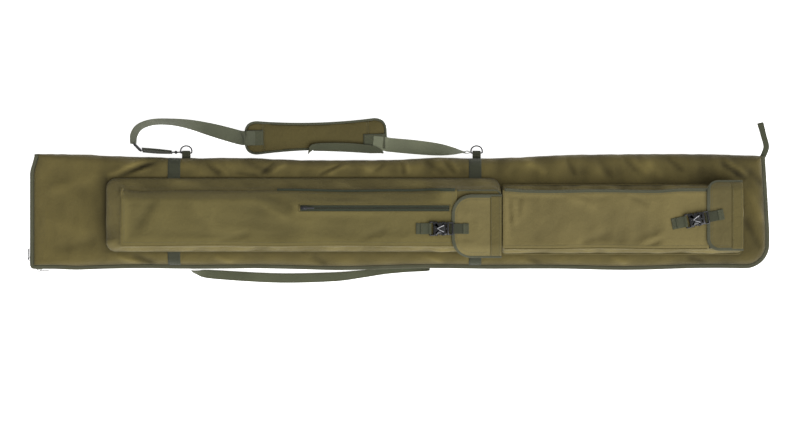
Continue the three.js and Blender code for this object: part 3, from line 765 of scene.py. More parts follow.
def build_bands():
    """Webbing bands sewn round the case, in a front and a back length."""
    for number, centre in enumerate(BAND_X, 1):
        across = np.linspace(-BAND_WIDTH / 2, BAND_WIDTH / 2, 11)
        ys = np.concatenate([BOTTOM + RIM_WIDTH + 0.2 + EDGE_STEPS[:-1], np.arange(-114, 110, 6), TOP
                             - 0.4 - EDGE_STEPS[:-1][::-1]])
        gy, gx = crossed(ys, centre + across)
        top = front_top(gx, gy) + 0.2
        free = ease(pocket_gap(gx, gy) / 8)
        top = top * free + 66.0 * (1 - free)
        edge = 0.5 * (1 - np.abs(gx - centre) / (BAND_WIDTH / 2)) ** 0.3
        slope = unit(xyz(0 * gy, -np.gradient(top, axis=0) / np.gradient(gy, axis=0), 1 + 0 * gy))
        base = xyz(gx, gy, top)
        outer, inner = warp(base + slope * (1.1 + edge[..., None])), warp(base - slope * 0.4)
        b = Builder()
        # painted shade: the band darkens next to the long pocket's foot
        painted_shade_and_tone = -0.5 * np.exp(-outside_box(gx, gy, LONG["base"]) / 6)
        b.plate(outer, inner, painted_shade_and_tone=painted_shade_and_tone)
        for side in (1, -2):
            b.stitches(outer[:, side] + slope[:, side] * 0.1, slope[:, side], 1, pitch=4.2)
        place(b.make(f"front_band_{number}", [BAND_WEBBING, DARK_THREAD]), "case_front", "webbing",
              f"band_{number}_front")

        ys = np.concatenate([BOTTOM + 0.8 + EDGE_STEPS[:-1], np.arange(-118, 104, 8), TOP - 1.8
                             - EDGE_STEPS[:-1][::-1]])
        gy, gx = crossed(ys, centre + across)
        under = xyz(gx, gy, back_bottom(gx, gy) - 0.1)
        slope = unit(xyz(0 * gy, np.gradient(under[..., 2], axis=0) / np.gradient(gy, axis=0), -1 + 0 * gy))
        outer, inner = warp(under + slope * 1.4), warp(under - slope * 0.6)
        outer[..., 2] = np.maximum(outer[..., 2], 0.15)
        b = Builder()
        b.plate(outer, inner)
        for side in (1, -2):
            b.stitches(outer[:, side], slope[:, side], 1, pitch=4.2)
        place(b.make(f"back_band_{number}", [BAND_WEBBING, DARK_THREAD]), "case_back", "webbing",
              f"band_{number}_back")


# ------------------------------------------------------------------ zips
def coil(b, path, normals, upward, slot):
    """One side of a coil zip: a row of loops across the tape's edge."""
    points, _ = resample(path, COIL_PITCH)
    along = lengths(path)
    at = (np.arange(len(points)) + 0.5) * along[-1] / len(points)
    out = unit(spread(at, along, normals))
    up = np.broadcast_to(np.array(upward, float), points.shape)
    b.capsules(points, up, out, COIL_LENGTH, 1.5, 1.7, slot)


def zip_side(name, body, path, z0, z1, teeth_z, nodes):
    """Half of the main zip: its tape on edge and its row of coil."""
    b = Builder()
    path = np.array(path)
    path[:, 2] = (z0 + z1) / 2
    normals = plan_normals(path)
    path = warp(path)
    b.sweep(path, normals, every(path, [0, 0, 1.0]), oval(1.6, z1 - z0, 12, 4.0), 0)
    row = path.copy()
    row[:, 2] = teeth_z
    b.tube(row + normals * 0.9, 0.55, 1, sides=6)
    coil(b, row + normals * 1.3, normals, (0, 0, 1), 1)
    edge = path.copy()
    edge[:, 2] = z0 + 0.9 if teeth_z > (z0 + z1) / 2 else z1 - 1.4
    b.stitches(edge + normals * 0.85, normals, 2, pitch=4.0, thread=0.7)
    place(b.make(name, [ZIP_CLOTH, COIL_PLASTIC, DARK_THREAD]), body, "zip_tape", *nodes)


def build_main_zips():
    """The long zip's tapes; the front one is parted at the corner where the sliders park."""
    whole = case_path(2.2, 5.0, TOP - 12)
    zip_side("back_zip_tape", "case_back", whole, 19.8, 25.0, 24.2, ["zip_tape_back"])
    bay = (whole[:, 0] < LEFT + 48) & (whole[:, 1] < BOTTOM + 48)
    first = np.argmax(bay)
    last = len(bay) - np.argmax(bay[::-1])
    zip_side("front_zip_tape", "case_front", whole[last:], 25.7, 34.5, 26.6, ["zip_tape_front"])
    zip_side("front_end_zip_tape", "case_front", whole[:first], 25.7, 34.5, 26.6, ["end_zip_tape_front"])


build_front()
build_rim("front_rim_tape", "case_front", "edge_binding", ["front_edge_binding"], 33.4, 39.2, 0.5, 41)
build_rim("back_rim_tape", "case_back", "edge_binding", ["back_edge_binding"], 14.6, 20.2, 0.2, 51)
build_back()
build_bands()
build_main_zips()


# ------------------------------------------------------------------ pockets
def rounded_loop(box, radius, step=9.0, count=None):
    """Points round a rectangle with rounded corners, anticlockwise; count fixes how many each side takes."""
    x0, x1, y0, y1 = box
    corners = [(x0 + radius, y0 + radius, 1.0), (x1 - radius, y0 + radius, 1.5),
               (x1 - radius, y1 - radius, 0.0), (x0 + radius, y1 - radius, 0.5)]
    sides = count or [max(2, int((x1 - x0) / step)), max(2, int((y1 - y0) / step))] * 2
    points = []
    for k, (cx, cy, start) in enumerate(corners):
        a = math.pi * (start + np.linspace(0, 0.5, 7))
        arc = np.stack([cx + radius * np.cos(a), cy + radius * np.sin(a)], 1)
        nx, ny, nstart = corners[(k + 1) % 4]
        nxt = np.array([nx + radius * math.cos(math.pi * nstart), ny + radius * math.sin(math.pi * nstart)])
        t = np.linspace(0, 1, sides[k] + 1)[1:-1, None]
        points += [arc, arc[-1] * (1 - t) + nxt * t]
    return np.vstack(points), sides


def shoulder_drop(pocket, x, y):
    """How far the long pocket's face slopes away from its zip towards the spine side."""
    if pocket is not LONG:
        return 4.0 * ease((y - 22) / 30) * ease((750 - x) / 80) + 0 * x
    ridge = 26 - 13 * ease((x + 420) / 200) + 1.6 * sway(x, 90, 60)
    reach = ease((122 - x) / 60) * ease((x + 748) / 30)
    t = (y - ridge) / (50 - ridge)
    return 26.0 * (0.5 * (t + np.sqrt(t * t + 0.03)) - 0.02).clip(0, 1.15) * reach


LONG_CREASES = [
    ((-410, 60), (-250, -10), 12, 3.4), ((-380, 20), (-290, -30), 9, -2.6),
    ((-340, 48), (-230, 14), 8, -2.2), ((-700, -60), (-640, 40), 13, 2.6),
    ((-560, 40), (-480, -60), 14, -2.4), ((-130, 46), (-20, 16), 10, -2.2),
    ((-120, -90), (-30, -50), 11, 2.4), ((-480, -92), (-390, -60), 10, 2.6),
    ((0, -94), (50, -60), 9, -2.0),
]
UPPER_CREASES = [
    ((282, 44), (290, -40), 6, 3.2), ((300, 30), (304, -50), 7, -2.8), ((318, 40), (312, -20), 6, 2.2),
    ((618, -96), (778, -36), 9, -4.2), ((636, -106), (792, -48), 6, 4.4), ((700, -98), (790, -82), 9, 2.6),
    ((430, 40), (520, 0), 12, -2.4), ((470, -96), (560, -60), 12, 2.6), ((600, 44), (660, 8), 10, 2.4),
]


def face_slack(pocket, x, y):
    """How far the pocket's face sinks below its taut height."""
    x0, _, y0, y1 = pocket["top"]
    edge = np.minimum(np.minimum(x - x0, y - y0), y1 - y)
    inside = ease(edge / 34)
    if pocket is LONG:
        calm = ease((60 - x) / 70)
        zip_line = 1 - (1 - ease((np.abs(y - 2) - 11) / 16)) * ease((x + 300) / 30)
        sink = 3.6 + 3.0 * ripple(x, y, 130, 61) + 1.7 * ripple(x, y * 1.5, 48, 62)
        sink = creased(sink, x, y, LONG_CREASES, 1.6)
        return np.maximum(sink, 0) * inside * calm * zip_line
    calm = ease((705 - x) / 40)
    left = ease((x - x0 - 4) / 20)
    sink = 3.2 + 2.6 * ripple(x, y, 120, 63) + 1.6 * ripple(x * 1.4, y, 44, 64)
    sink = creased(sink, x, y, UPPER_CREASES, 1.6)
    return np.maximum(sink, 0) * ease(edge / 24) * calm * left


def face_height(pocket, x, y):
    """Height of the top of the pocket's face."""
    x0, _, y0, y1 = pocket["top"]
    edge = np.minimum(y - y0, y1 - y)
    edge = np.minimum(edge, x - x0) if pocket is LONG else edge
    return (pocket["face"][1] - 2.6 * (1 - dome((edge + 0.6) / 7)) - face_slack(pocket, x, y)
            - shoulder_drop(pocket, x, y))


def face_wave(pocket, x, y):
    """The face's long edges pull in and out a little between their seams."""
    y0, y1 = pocket["top"][2:]
    calm = ease((pocket["end"] - 60 - x) / 80) * ease((x - pocket["top"][0]) / 60)
    upper = (4.2 * sway(x, 120, 71) - 2.6) * ease((y - y1 + 40) / 40)
    lower = (2.2 * sway(x, 150, 72) + 1.0) * ease((y0 + 40 - y) / 40)
    return y + calm * (upper + lower)


def build_pocket(name, pocket, seed):
    """A pocket's side cloth, face, edge cord and bound mouth."""
    low, high = pocket["z"]
    taut = pocket is LONG
    radius_base, radius_top = (26, 15) if taut else (9, 7)
    base, count = rounded_loop(pocket["base"], radius_base, 6.0)
    top, _ = rounded_loop(pocket["top"], radius_top, count=count)
    s = lengths(grounded(base))
    rows = np.concatenate([[0, 0.02, 0.05], np.linspace(0.1, 0.94, 13), [0.98, 1.0]])
    outward = plan_normals(grounded(base), closed=True)
    outer, inner, painted_shade_and_tone = [], [], []
    long_side = np.abs(outward[:, 1])
    for t in rows:
        plan = base * (1 - t) + top * t
        plan = np.column_stack([plan[:, 0], plan[:, 1] * (1 - t)
                                + face_wave(pocket, plan[:, 0], plan[:, 1]) * t])
        belly = math.sin(math.pi * t)
        fold = (3.4 * ripple(s, np.full_like(s, 40.0 * t), 62, seed)
                + 2.2 * ripple(s, np.full_like(s, 25.0 * t), 27, seed + 1))
        left_bulge = (13.0 if taut else 0.0) * belly * np.maximum(-outward[:, 0], 0)
        push = belly * (1.2 + fold) * (0.6 + 0.4 * long_side) + left_bulge
        tuck = -2.2 * math.exp(-(((t - 0.62) / 0.13) ** 2)) * long_side
        lowered = high - shoulder_drop(pocket, top[:, 0], top[:, 1])
        z = low + (lowered - low) * t + belly * 0.8 * ripple(s, np.full_like(s, 9.0), 80, seed + 2)
        where = np.column_stack([plan, z + 0 * s]) + outward * (push + tuck)[:, None] * [1, 1, 0]
        limit = (3.6 if t < 0.2 else 6.0) + left_bulge[:, None]
        where = np.column_stack([plan, z + 0 * s]) + np.clip(where - np.column_stack([plan, z + 0 * s]),
                                                             -limit, limit)
        outer.append(where)
        inner.append(where - outward * (2.2 + 1.2 * belly))
        # painted shade: darker at the gusset's foot and top and on the spine side facing away from the light;
        # painted highlight on its belly and fold ridges
        shade = -1.0 * math.exp(-t * 12) - (0.2 if taut else 0.6) * math.exp(-(1 - t) * 14) + 0.25 * belly
        far_side = np.maximum(outward[:, 1], 0)
        painted_shade_and_tone.append(shade - (0.7 if taut else 0.2) * far_side + 0.2 * fold * belly)
    outer, inner = np.array(outer).transpose(1, 0, 2), np.array(inner).transpose(1, 0, 2)
    if not taut:
        for grid in (outer, inner):
            grid[..., 0] = np.maximum(grid[..., 0], pocket["base"][0] - 0.6)
    b = Builder()
    b.plate(outer, inner, (0, 1, 0), painted_shade_and_tone=np.array(painted_shade_and_tone).T, closed=True)
    if not taut:
        b.tube(outer[:, 0] + outward * 1.2 + [0, 0, 1.3], 1.5, 0, closed=True, sides=8)
    rows_up = outer[:, 3] + outward * 0.4
    b.stitches(rows_up, outward, 2, closed=True)
    piece = b.make(f"{name}_pocket_side_cloth", [GUSSET, LINING, THREAD])
    place(piece, "case_front", "olive_cloth", f"{name}_pocket_gusset")

    x0, _, y0, y1 = pocket["top"]
    first = x0 if taut else x0 + 0.4
    steps = np.array([0, 0.5, 1.5, 3, 5, 8])
    xs = np.concatenate([first + steps, np.arange(first + 13, pocket["end"] - 12, 5.0), pocket["end"]
                         - steps[::-1]])
    ys = np.concatenate([y0 + 0.2 + steps, np.linspace(y0 + 12, y1 - 12, 26), y1 - 0.2 - steps[::-1]])
    gx, gy = crossed(xs, ys)
    z = face_height(pocket, gx, gy)
    roll = 1.5 * (1 - dome((pocket["end"] - gx + 0.4) / 5))
    wy = face_wave(pocket, gx, gy)
    outer = xyz(gx, wy, z - roll)
    under = np.minimum(z - roll - 1.0, pocket["face"][0] + 0.15 - 0.9 * face_slack(pocket, gx, gy)
                       - shoulder_drop(pocket, gx, gy))
    inner = xyz(gx, wy, under)
    edge = np.minimum(np.minimum(gx - first, gy - y0), y1 - gy)
    b = Builder()
    # painted shade and highlight: a dark rim, a light band inside it, the whole face lighter, darker where it
    # sinks and where it slopes towards the spine
    painted_shade_and_tone = -(0.15 if taut else 0.6) * np.exp(-edge / 4) + 0.35 * np.exp(-((edge - 12) / 8) ** 2)
    painted_shade_and_tone = painted_shade_and_tone + 0.35 - 0.15 * face_slack(pocket, gx, gy) - 0.055 * shoulder_drop(pocket, gx, gy)
    b.plate(outer, inner, (0, 1, 0), painted_shade_and_tone=painted_shade_and_tone)
    for seam_y in (y0 + 7.5, y1 - 7.5):
        line = np.stack([xs[4:-3], np.full(len(xs) - 7, seam_y)], 1)
        if taut and seam_y > 0:
            line = line[line[:, 0] > -330]
        height = face_height(pocket, line[:, 0], line[:, 1])
        b.stitches(xyz(line[:, 0], face_wave(pocket, line[:, 0], line[:, 1]), height), [0, 0, 1], 2)
    for x_line in ([first + 8] if taut else []) + [pocket["end"] - 5, pocket["end"] - 11]:
        line_y = np.linspace(y0 + 8, y1 - 8, 40)
        height = face_height(pocket, np.full(40, x_line), line_y)
        b.stitches(xyz(x_line, face_wave(pocket, np.full(40, x_line), line_y), height),
                   [0, 0, 1], 2)
    piece = b.make(f"{name}_pocket_front_cloth", [FACE_CLOTH[name], LINING, THREAD])
    place(piece, "case_front", "olive_cloth", f"{name}_pocket_face")

    b = Builder()
    rim = pocket["face"][1] - 2.0
    edge_x = np.arange(first + 5, pocket["end"], 5.0)

    def on_edge(y):
        ys = np.full_like(edge_x, y)
        return xyz(edge_x, face_wave(pocket, edge_x, ys), rim - shoulder_drop(pocket, edge_x, ys))

    upper, lower = on_edge(y1) + [0, 1.9, 0.6], on_edge(y0) + [0, -1.5, -0.4]
    if taut:
        turn = np.array([[first + 1.5, y1 + 1.3], [first - 1.3, y1 - 3], [first - 1.6, y1 - 9],
                         [first - 1.6, 0],
                         [first - 1.6, y0 + 9], [first - 1.3, y0 + 3], [first + 1.5, y0 - 1.3]])
        turn = np.column_stack([turn, rim - shoulder_drop(pocket, turn[:, 0], turn[:, 1])])
        paths = [(smooth_path(np.vstack([turn, lower])[::2], 3) + [1.6, 0.8, -1.2], 3.0)]
    else:
        paths = [(upper, 1.4), (lower, 1.4)]
    for path, radius in paths:
        b.tube(path, radius, 1, sides=10)
    dark = upper[edge_x > -330] if taut else upper
    b.tube(dark + [0, 0.3, 0.5], 2.2, 0, sides=10)
    flange = dark + [0, -3.6, 0.9]
    b.sweep(flange, every(flange, [0, 1.0, 0]), every(flange, [0, 0, 1.0]),
            oval(5.0, 1.4, 12, 3.0), 0)
    piece = b.make(f"{name}_pocket_edge_cord", [ZIP_CLOTH if taut else BINDING, GUSSET])
    place(piece, "case_front", "edge_binding", f"{name}_pocket_piping")

    # the bound lip round the open mouth, under the flap
    b = Builder()
    mouth = top[(top[:, 0] > pocket["end"] - 2)]
    order = np.argsort(np.arctan2(mouth[:, 1] - (y0 + y1) / 2, mouth[:, 0] - (pocket["end"] - 1)))
    mouth = mouth[order]
    path = np.column_stack([mouth, np.full(len(mouth), high - 0.6)])
    across = plan_normals(path)
    b.sweep(path - across * 1.3, across, every(path, [0, 0, 1.0]), oval(4.4, 5.2, 12, 3.0), 0)
    facing_x = np.linspace(pocket["end"] - 3, pocket["top"][1] - 1.5, 26)
    for side, wide in ((y1, 34.0), (y0, 14.0)):
        inward = -1 if side > 0 else 1
        gx, gy = crossed(facing_x, side + inward * np.linspace(0.8, wide, 8))
        across_share = np.abs(gy - side) / wide
        level = high + 1.0 - 3.0 * across_share**2 + 0.4 * ripple(gx, gy, 25, 91)
        # painted shade under the flap: the facings are a little darker
        b.plate(xyz(gx, gy, level), xyz(gx, gy, level - 1.2), (1, 1, 1), painted_shade_and_tone=-0.3)
    place(b.make(f"{name}_pocket_mouth_tape", [BINDING, GUSSET]), "case_front", "edge_binding")


# ------------------------------------------------------------------ flaps
def flap_droop(flap, x, y):
    """The flap bends down past the pocket's long edges and lifts a little at its free corners."""
    y0, y1 = flap["pocket"]["top"][2:]
    beyond = np.maximum(y0 + 3 - y, 0) + np.maximum(y - y1 + 3, 0)
    hang = -(0.022 if flap is FLAP_1 else 0.034) * beyond**2 * (1 - 0.25 * ease(beyond / 30))
    free = ease((flap["hinge"] - 30 - x) / 60)
    wave = 0.9 * ripple(x * 0.8, y, 46, 81 if flap is FLAP_1 else 82) * ease((flap["hinge"] - 14 - x) / 30)
    crown = 1.5 * ease((x - flap["edge"] - 8) / 30) * ease((flap["hinge"] - 20 - x) / 30)
    near_buckle = 1 - ease((np.abs(y - flap["buckle_y"]) - 25) / 14)
    buckle_calm = 1 - near_buckle * ease((flap["edge"] + 70 - x) / 20)
    return hang + np.maximum(wave + crown + 0.9, 0) * (0.4 + 0.6 * free) * buckle_calm


def flap_edge(flap, inset):
    """The flap's bound edge, from the hinge's high corner round the free end to its low corner."""
    y0, y1 = flap["y"][0] + inset, flap["y"][1] - inset
    edge, r = flap["edge"] + inset, flap["radius"] - inset
    a = np.linspace(math.pi / 2, math.pi, 13)
    high = np.stack([edge + r + r * np.cos(a), y1 - r + r * np.sin(a)], 1)
    a = np.linspace(math.pi, 1.5 * math.pi, 13)
    low = np.stack([edge + r + r * np.cos(a), y0 + r + r * np.sin(a)], 1)
    points = np.vstack([[[flap["hinge"], y1]], high, low, [[flap["hinge"], y0]]])
    path = grounded(points)
    along = lengths(path)
    at = np.linspace(0, along[-1], FLAP_EDGE_POINTS)
    return spread(at, along, path)


def build_flap(number, flap):
    """A pocket's flap with its hinge patch, stitching and edge tape."""
    low, high = flap["z"]
    edge = flap_edge(flap, 2.5)
    spine_x = flap["hinge"] - 0.5
    mid = (flap["y"][0] + flap["y"][1]) / 2
    centre = xyz(spine_x, mid + (edge[:, 1] - mid) * 0.999, edge[:, 2])
    shares = np.concatenate([[0, 0.015, 0.04], np.linspace(0.08, 1, 22)])[:, None, None]
    grid = edge[None] * (1 - shares) + centre[None] * shares
    x, y = grid[..., 0], grid[..., 1]
    lift = flap_droop(flap, x, y)
    outer = xyz(x, y, high + lift).transpose(1, 0, 2)
    inner = xyz(x, y, low + lift).transpose(1, 0, 2)
    b = Builder()
    outline = np.minimum(x - flap["edge"], np.minimum(y - flap["y"][0], flap["y"][1] - y))
    # painted highlight in a band inside the flap's edge and painted shade right at the edge
    b.plate(outer, inner, (0, 1, 0), painted_shade_and_tone=(0.35 * np.exp(-((outline - 16) / 10) ** 2) - 0.5
                                           * np.exp(-(outline / 6))).T)
    ys = np.linspace(flap["y"][0] + 3, flap["y"][1] - 3, 44)
    xs = np.linspace(flap["hinge"] - 31, flap["hinge"] - 0.6, 9)
    gx, gy = crossed(xs, ys)
    rise = flap_droop(flap, gx, gy) + high
    pad = 0.9 * dome((gx - xs[0]) / 4)
    # the hinge patch is painted a little darker
    b.plate(xyz(gx, gy, rise + 0.15 + pad), xyz(gx, gy, rise - 0.5), (2, 2, 2), painted_shade_and_tone=-0.25)
    for x_line in (xs[0] + 3.5, xs[-1] - 5):
        line = xyz(x_line, ys, flap_droop(flap, np.full(44, x_line), ys) + high + 1.1)
        b.stitches(line, [0, 0, 1], 3)
    hem = flap_edge(flap, 12)
    hem = xyz(hem[:, 0], hem[:, 1], high + flap_droop(flap, hem[:, 0], hem[:, 1]))
    hem = hem[hem[:, 0] < flap["hinge"] - 33]
    b.stitches(hem, [0, 0, 1], 3)
    piece = b.make(f"flap_{number}_cloth", [FLAP_CLOTH[number - 1], LINING, GUSSET, THREAD])
    body = FLAP_BODIES[number - 1]
    place(piece, body, "olive_cloth", f"flap_{number}")

    b = Builder()
    path = flap_edge(flap, 2.4)
    path[:, 2] = flap_droop(flap, path[:, 0], path[:, 1]) + (low + high) / 2
    across = plan_normals(path)
    along = lengths(path)
    b.sweep(path, across, every(path, [0, 0, 1.0]), oval(9.5, 3.9, 14, 3.0), 0,
            painted_shade_and_tone=np.repeat((0.3 * sway(along, 30, 83))[:, None], 15, 1))
    b.stitches(path - across * 2.9 + [0, 0, 1.75], [0, 0, 1], 1, pitch=3.8)
    place(b.make(f"flap_{number}_edge_tape", [BINDING, THREAD]), body, "edge_binding",
          f"flap_{number}_binding")


# The flap cloths are copies of the olive oxford: the long pocket's flap lighter as painted light, where it
# tilts towards the lamp, and the small flap darker.
FLAP_CLOTH = [cloth("olive_flap_painted_light", (0.152, 0.124, 0.047)), cloth("olive_small_flap", (0.11, 0.09, 0.034))]

build_pocket("long", LONG, 100)
build_pocket("upper", UPPER, 120)
build_flap(1, FLAP_1)
build_flap(2, FLAP_2)


# ------------------------------------------------------------------ straps and webbing
def strap_rows(points, per_span):
    """The swept section of a strap through (x, y, z, roll, width) points, and its frames."""
    dense = smooth_path(points, per_span)
    path, roll, width = dense[:, :3], np.radians(dense[:, 3]), dense[:, 4]
    along = tangents(path)
    side = unit(np.cross([0, 0, 1.0], along))
    normal = np.cross(along, side)
    across = side * np.cos(roll)[:, None] + normal * np.sin(roll)[:, None]
    return path, across, np.cross(along, across), width


def strap(b, points, thickness, slot=0, thread=None, per_span=10, seed=0, rows=(0.36,), painted_light=0.0):
    """A strap along the points; its last argument paints the webbing lighter above 0 and darker below 0, as
    painted sheen and shade.
    """
    path, across, outward, width = strap_rows(points, per_span)
    section = oval(1.0, thickness, 20, 5.0)
    size = np.stack([width, np.ones_like(width)], 1)
    along = lengths(path)
    # painted sheen and shade on the whole strap from the last argument, plus random tone along it
    painted_shade_and_tone = np.repeat((painted_light + 0.3 * sway(along, 50, seed))[:, None], 21, 1)
    b.sweep(path, across, outward, section, slot, size=size, painted_shade_and_tone=painted_shade_and_tone)
    if thread is not None:
        for row in rows:
            for sign in (-1, 1):
                line = path + across * (sign * row * width)[:, None]
                b.stitches(line + outward * thickness / 2, outward, thread, pitch=4.4)


def build_straps():
    """Every length of webbing outside the pad: shoulder strap, handles, pull tab, rod straps, ring tabs."""
    grid = [
        [-714.5, 174, 19, 58, 26], [-712, 200, 19, 56, 30], [-696, 221, 19, 60, 32], [-660, 233, 19, 64, 34],
        [-610, 233, 18, 60, 34], [-560, 226, 17, 46, 36], [-500, 211, 14, 24, 38], [-430, 192, 12, 0, 38],
        [-417, 190.5, 18.5, 0, 38], [-405, 190.0, 21.9, 0, 38], [-388, 190.2, 22.2, 0, 38]]
    b = Builder()
    strap(b, grid, 2.0, per_span=16, seed=201, painted_light=-0.7)
    place(b.make("left_strap", [STRAP_WEBBING]), "shoulder_strap", "webbing", "strap_webbing_left")
    b = Builder()
    strap(b, [[-72, 177, 22.2, 0, 38], [-50, 175.5, 21.6, 0, 38], [-38, 174, 17.5, 0, 38],
              [-26, 172, 11.5, 0, 38],
              [40, 166, 12, 0, 38], [100, 160, 14, -12, 34], [145, 155, 17, -45, 26],
              [175, 152, 19, -85, 18]], 2.0, per_span=16, seed=202, painted_light=1.1)
    strap(b, [[172, 153.6, 19, -88, 17], [180, 155.2, 20, -90, 16.5], [187.4, 152, 20, -90, 16],
              [180, 149.2, 20, -90, 16.5], [168, 151.0, 19, -88, 17]], 1.7, per_span=8, seed=203, painted_light=0.6)
    place(b.make("right_strap", [STRAP_WEBBING]), "shoulder_strap", "webbing", "strap_webbing_right")
    b = Builder()
    strap(b, [[-691, 159.6, 17, 68, 24], [-650, 156.4, 17, 68, 24], [-611, 153.8, 17, 76, 22]], 2.0, seed=204)
    strap(b, [[-690, 156.6, 15, 68, 24], [-650, 153.4, 15, 68, 24], [-611, 151.0, 16, 76, 22]], 2.0, seed=205)
    for x in (-632, -640, -648):
        line = xyz(x, np.linspace(152.6, 158.4, 12), np.linspace(26, 8.6, 12))
        b.stitches(line + [0, 2.0, 1.0], [0.06, 0.93, 0.35], 1)
    place(b.make("doubled_strap", [BAND_WEBBING, DARK_THREAD]), "shoulder_strap", "webbing",
          "strap_webbing_doubled")

    b = Builder()
    handle = [[-246, 148, 26, 90, 8], [-240, 157, 26, 50, 10], [-226, 165, 26, 15, 20],
              [-150, 165, 25.5, 0, 24],
              [-80, 160, 25.5, 0, 22], [-54, 155, 26, -20, 13], [-44, 149, 26, -80, 8]]
    strap(b, handle, 2.2, 0, 1, per_span=12, seed=206, rows=(0.38,))
    place(b.make("carry_handle_top", [WEBBING, THREAD]), "top_grip", "webbing", "top_handle")
    b = Builder()
    handle = [[-560, -165, 9, 85, 12], [-545, -170, 8, 50, 16], [-500, -175.5, 4.4, 0, 24],
              [-330, -185, 3.4, 0, 26],
              [-180, -182, 3.4, 0, 25], [-105, -174.5, 3.2, 0, 21], [-40, -166.5, 3.2, 0, 17],
              [20, -162.5, 3.4, 0, 14],
              [64, -161, 5, -20, 13], [80, -160, 7.5, -35, 12]]
    strap(b, handle, 2.2, 0, 1, per_span=14, seed=207, rows=(0.4,), painted_light=1.2)
    place(b.make("carry_handle_bottom", [WEBBING, THREAD]), "bottom_grip", "webbing", "bottom_handle")
    b = Builder()
    strap(b, [[970, 139.5, 24, 0, 15], [974, 147, 24, 0, 15], [980, 168, 23, 0, 15],
              [973, 198, 21, 0, 15], [964, 231, 20, 0, 16]],
          2.0, 0, per_span=10, seed=208)
    strap(b, [[971, 139.5, 21.6, 0, 15], [975, 148, 21.6, 0, 15], [981, 168, 20.6, 0, 15],
              [974, 198, 18.8, 0, 15], [966, 230, 18.6, 0, 16]],
          1.8, 0, per_span=10, seed=209)
    for y in (224, 228.5):
        b.stitches(xyz(np.linspace(959, 972, 10), y, 21.2), [0, 0, 1], 1)
    place(b.make("pull_tab", [WEBBING, THREAD]), "end_pull", "webbing", "grab_tab")

    for number in (1, 2, 3):
        low, high = drawn_box(f"rod_strap_{number}")
        x, y0, y1 = (low[0] + high[0]) / 2, low[1], high[1]
        b = Builder()
        points = [[x, y0 + 1, 10.8, 0, 38], [x, y0 + 30, 11.4, 0, 38], [x, 0.5 * (y0 + y1), 12.4, 0, 38],
                  [x, y1 - 30, 11.4, 0, 38], [x, y1 - 1, 10.8, 0, 38]]
        strap(b, points, 1.7, 0, 1, per_span=8, seed=210 + number, rows=(0.42,))
        place(b.make(f"inner_rod_strap_{number}", [WEBBING, THREAD]), "case_back", "webbing",
              f"rod_strap_{number}")

    for name, x, node_name in (("left", -572, "d_ring_left_tab"), ("right", 205, "d_ring_right_tab")):
        b = Builder()
        loop = [[x, 131, 29.4], [x, 140, 29.4], [x, 150, 28.4], [x, 155.5, 24], [x, 150, 19.6],
                [x, 140, 18.6],
                [x, 131, 18.6]]
        path = smooth_path(loop, 6)
        along = tangents(path)
        across = every(path, [1.0, 0, 0])
        b.sweep(path, across, np.cross(along, across), oval(22, 1.7, 16, 5.0), 0)
        b.sweep(np.array([[x, 134, 24], [x, 144.5, 24]], float), np.tile([1.0, 0, 0], (2, 1)),
                np.tile([0, 0, 1.0], (2, 1)), oval(20, 9, 16, 4.0), 0)
        b.stitches(xyz(np.linspace(x - 9, x + 9, 10), 143.0, 30.0), [0, 0, 1], 1)
        place(b.make(f"{name}_ring_tab", [BAND_WEBBING, THREAD]), "case_back", "webbing", node_name)


# The shoulder strap's webbing is a lighter copy of the green webbing: a painted sheen.
STRAP_WEBBING = webbing("strap_webbing", (0.112, 0.12, 0.076))
build_straps()


# ------------------------------------------------------------------ the shoulder pad
def pad_outline(inset):
    """The dog-bone outline, in the pad's own frame."""
    length, width, waist = PAD["length"], PAD["width"], PAD["waist"]

    def bend(a, m, c, n):
        t = np.linspace(0, 1, n, endpoint=False)[:, None]
        return (1 - t) ** 2 * np.array(a) + 2 * t * (1 - t) * np.array(m) + t**2 * np.array(c)

    l, w, k = length, width, PAD["corner"]
    points = np.vstack([
        bend((-l + k, -w), (0, w - 2 * waist), (l - k, -w), 60), bend((l - k, -w), (l, -w), (l, -w + k), 14),
        bend((l, -w + k), (l, 0), (l, w - k), 8), bend((l, w - k), (l, w), (l - k, w), 14),
        bend((l - k, w), (0, 2 * waist - w), (-l + k, w), 60), bend((-l + k, w), (-l, w), (-l, w - k), 14),
        bend((-l, w - k), (-l, 0), (-l, -w + k), 8), bend((-l, -w + k), (-l, -w), (-l + k, -w), 14)])
    path = grounded(points)
    ring = np.vstack([path, path[:1]])
    along = lengths(ring)
    at = np.arange(PAD_POINTS) * along[-1] / PAD_POINTS
    path = spread(at, along, ring)
    return path - plan_normals(path, closed=True) * inset


def pad_place(points):
    """The pad's own frame, put in place."""
    a = math.radians(PAD["turn"])
    x, y = points[..., 0], points[..., 1]
    out = np.array(points, float)
    out[..., 0] = PAD["x"] + x * math.cos(a) - y * math.sin(a)
    out[..., 1] = PAD["y"] + x * math.sin(a) + y * math.cos(a)
    return out


def build_pad_core():
    """The pad's stuffed body before its cover is inflated: a slab with rounded sides."""
    low, high = PAD["z"]
    b = Builder()
    rings = []
    middle, half = (low + high) / 2 + 0.6, (high - low) / 2 - 3.4
    for inset, height in ((40, 1.0), (20, 1.0), (9, 0.95), (5.5, 0.6), (4.5, 0), (5.5, -0.6), (9, -0.95),
                          (20, -1), (40, -1)):
        ring = pad_outline(0)
        scale = np.minimum(1, 1 - inset / 60.0) if inset > 18 else None
        ring = ring * [1, scale, 1] * [1 - inset / 500, 1, 1] if scale is not None else pad_outline(inset)
        rings.append(ring + [0, 0, middle + half * height])
    grid = pad_place(np.array(rings))
    grid = np.concatenate([grid, grid[:, :1]], 1)
    b.patch(grid)
    for end in (0, -1):
        ring = grid[end, :-1]
        centre = ring.mean(0)
        n = len(ring)
        faces = fan(n)
        b.add(np.vstack([ring, centre]), [faces], np.zeros((n + 1, 2)))
    return b.make("shoulder_pad_body", [PAD_CLOTH])


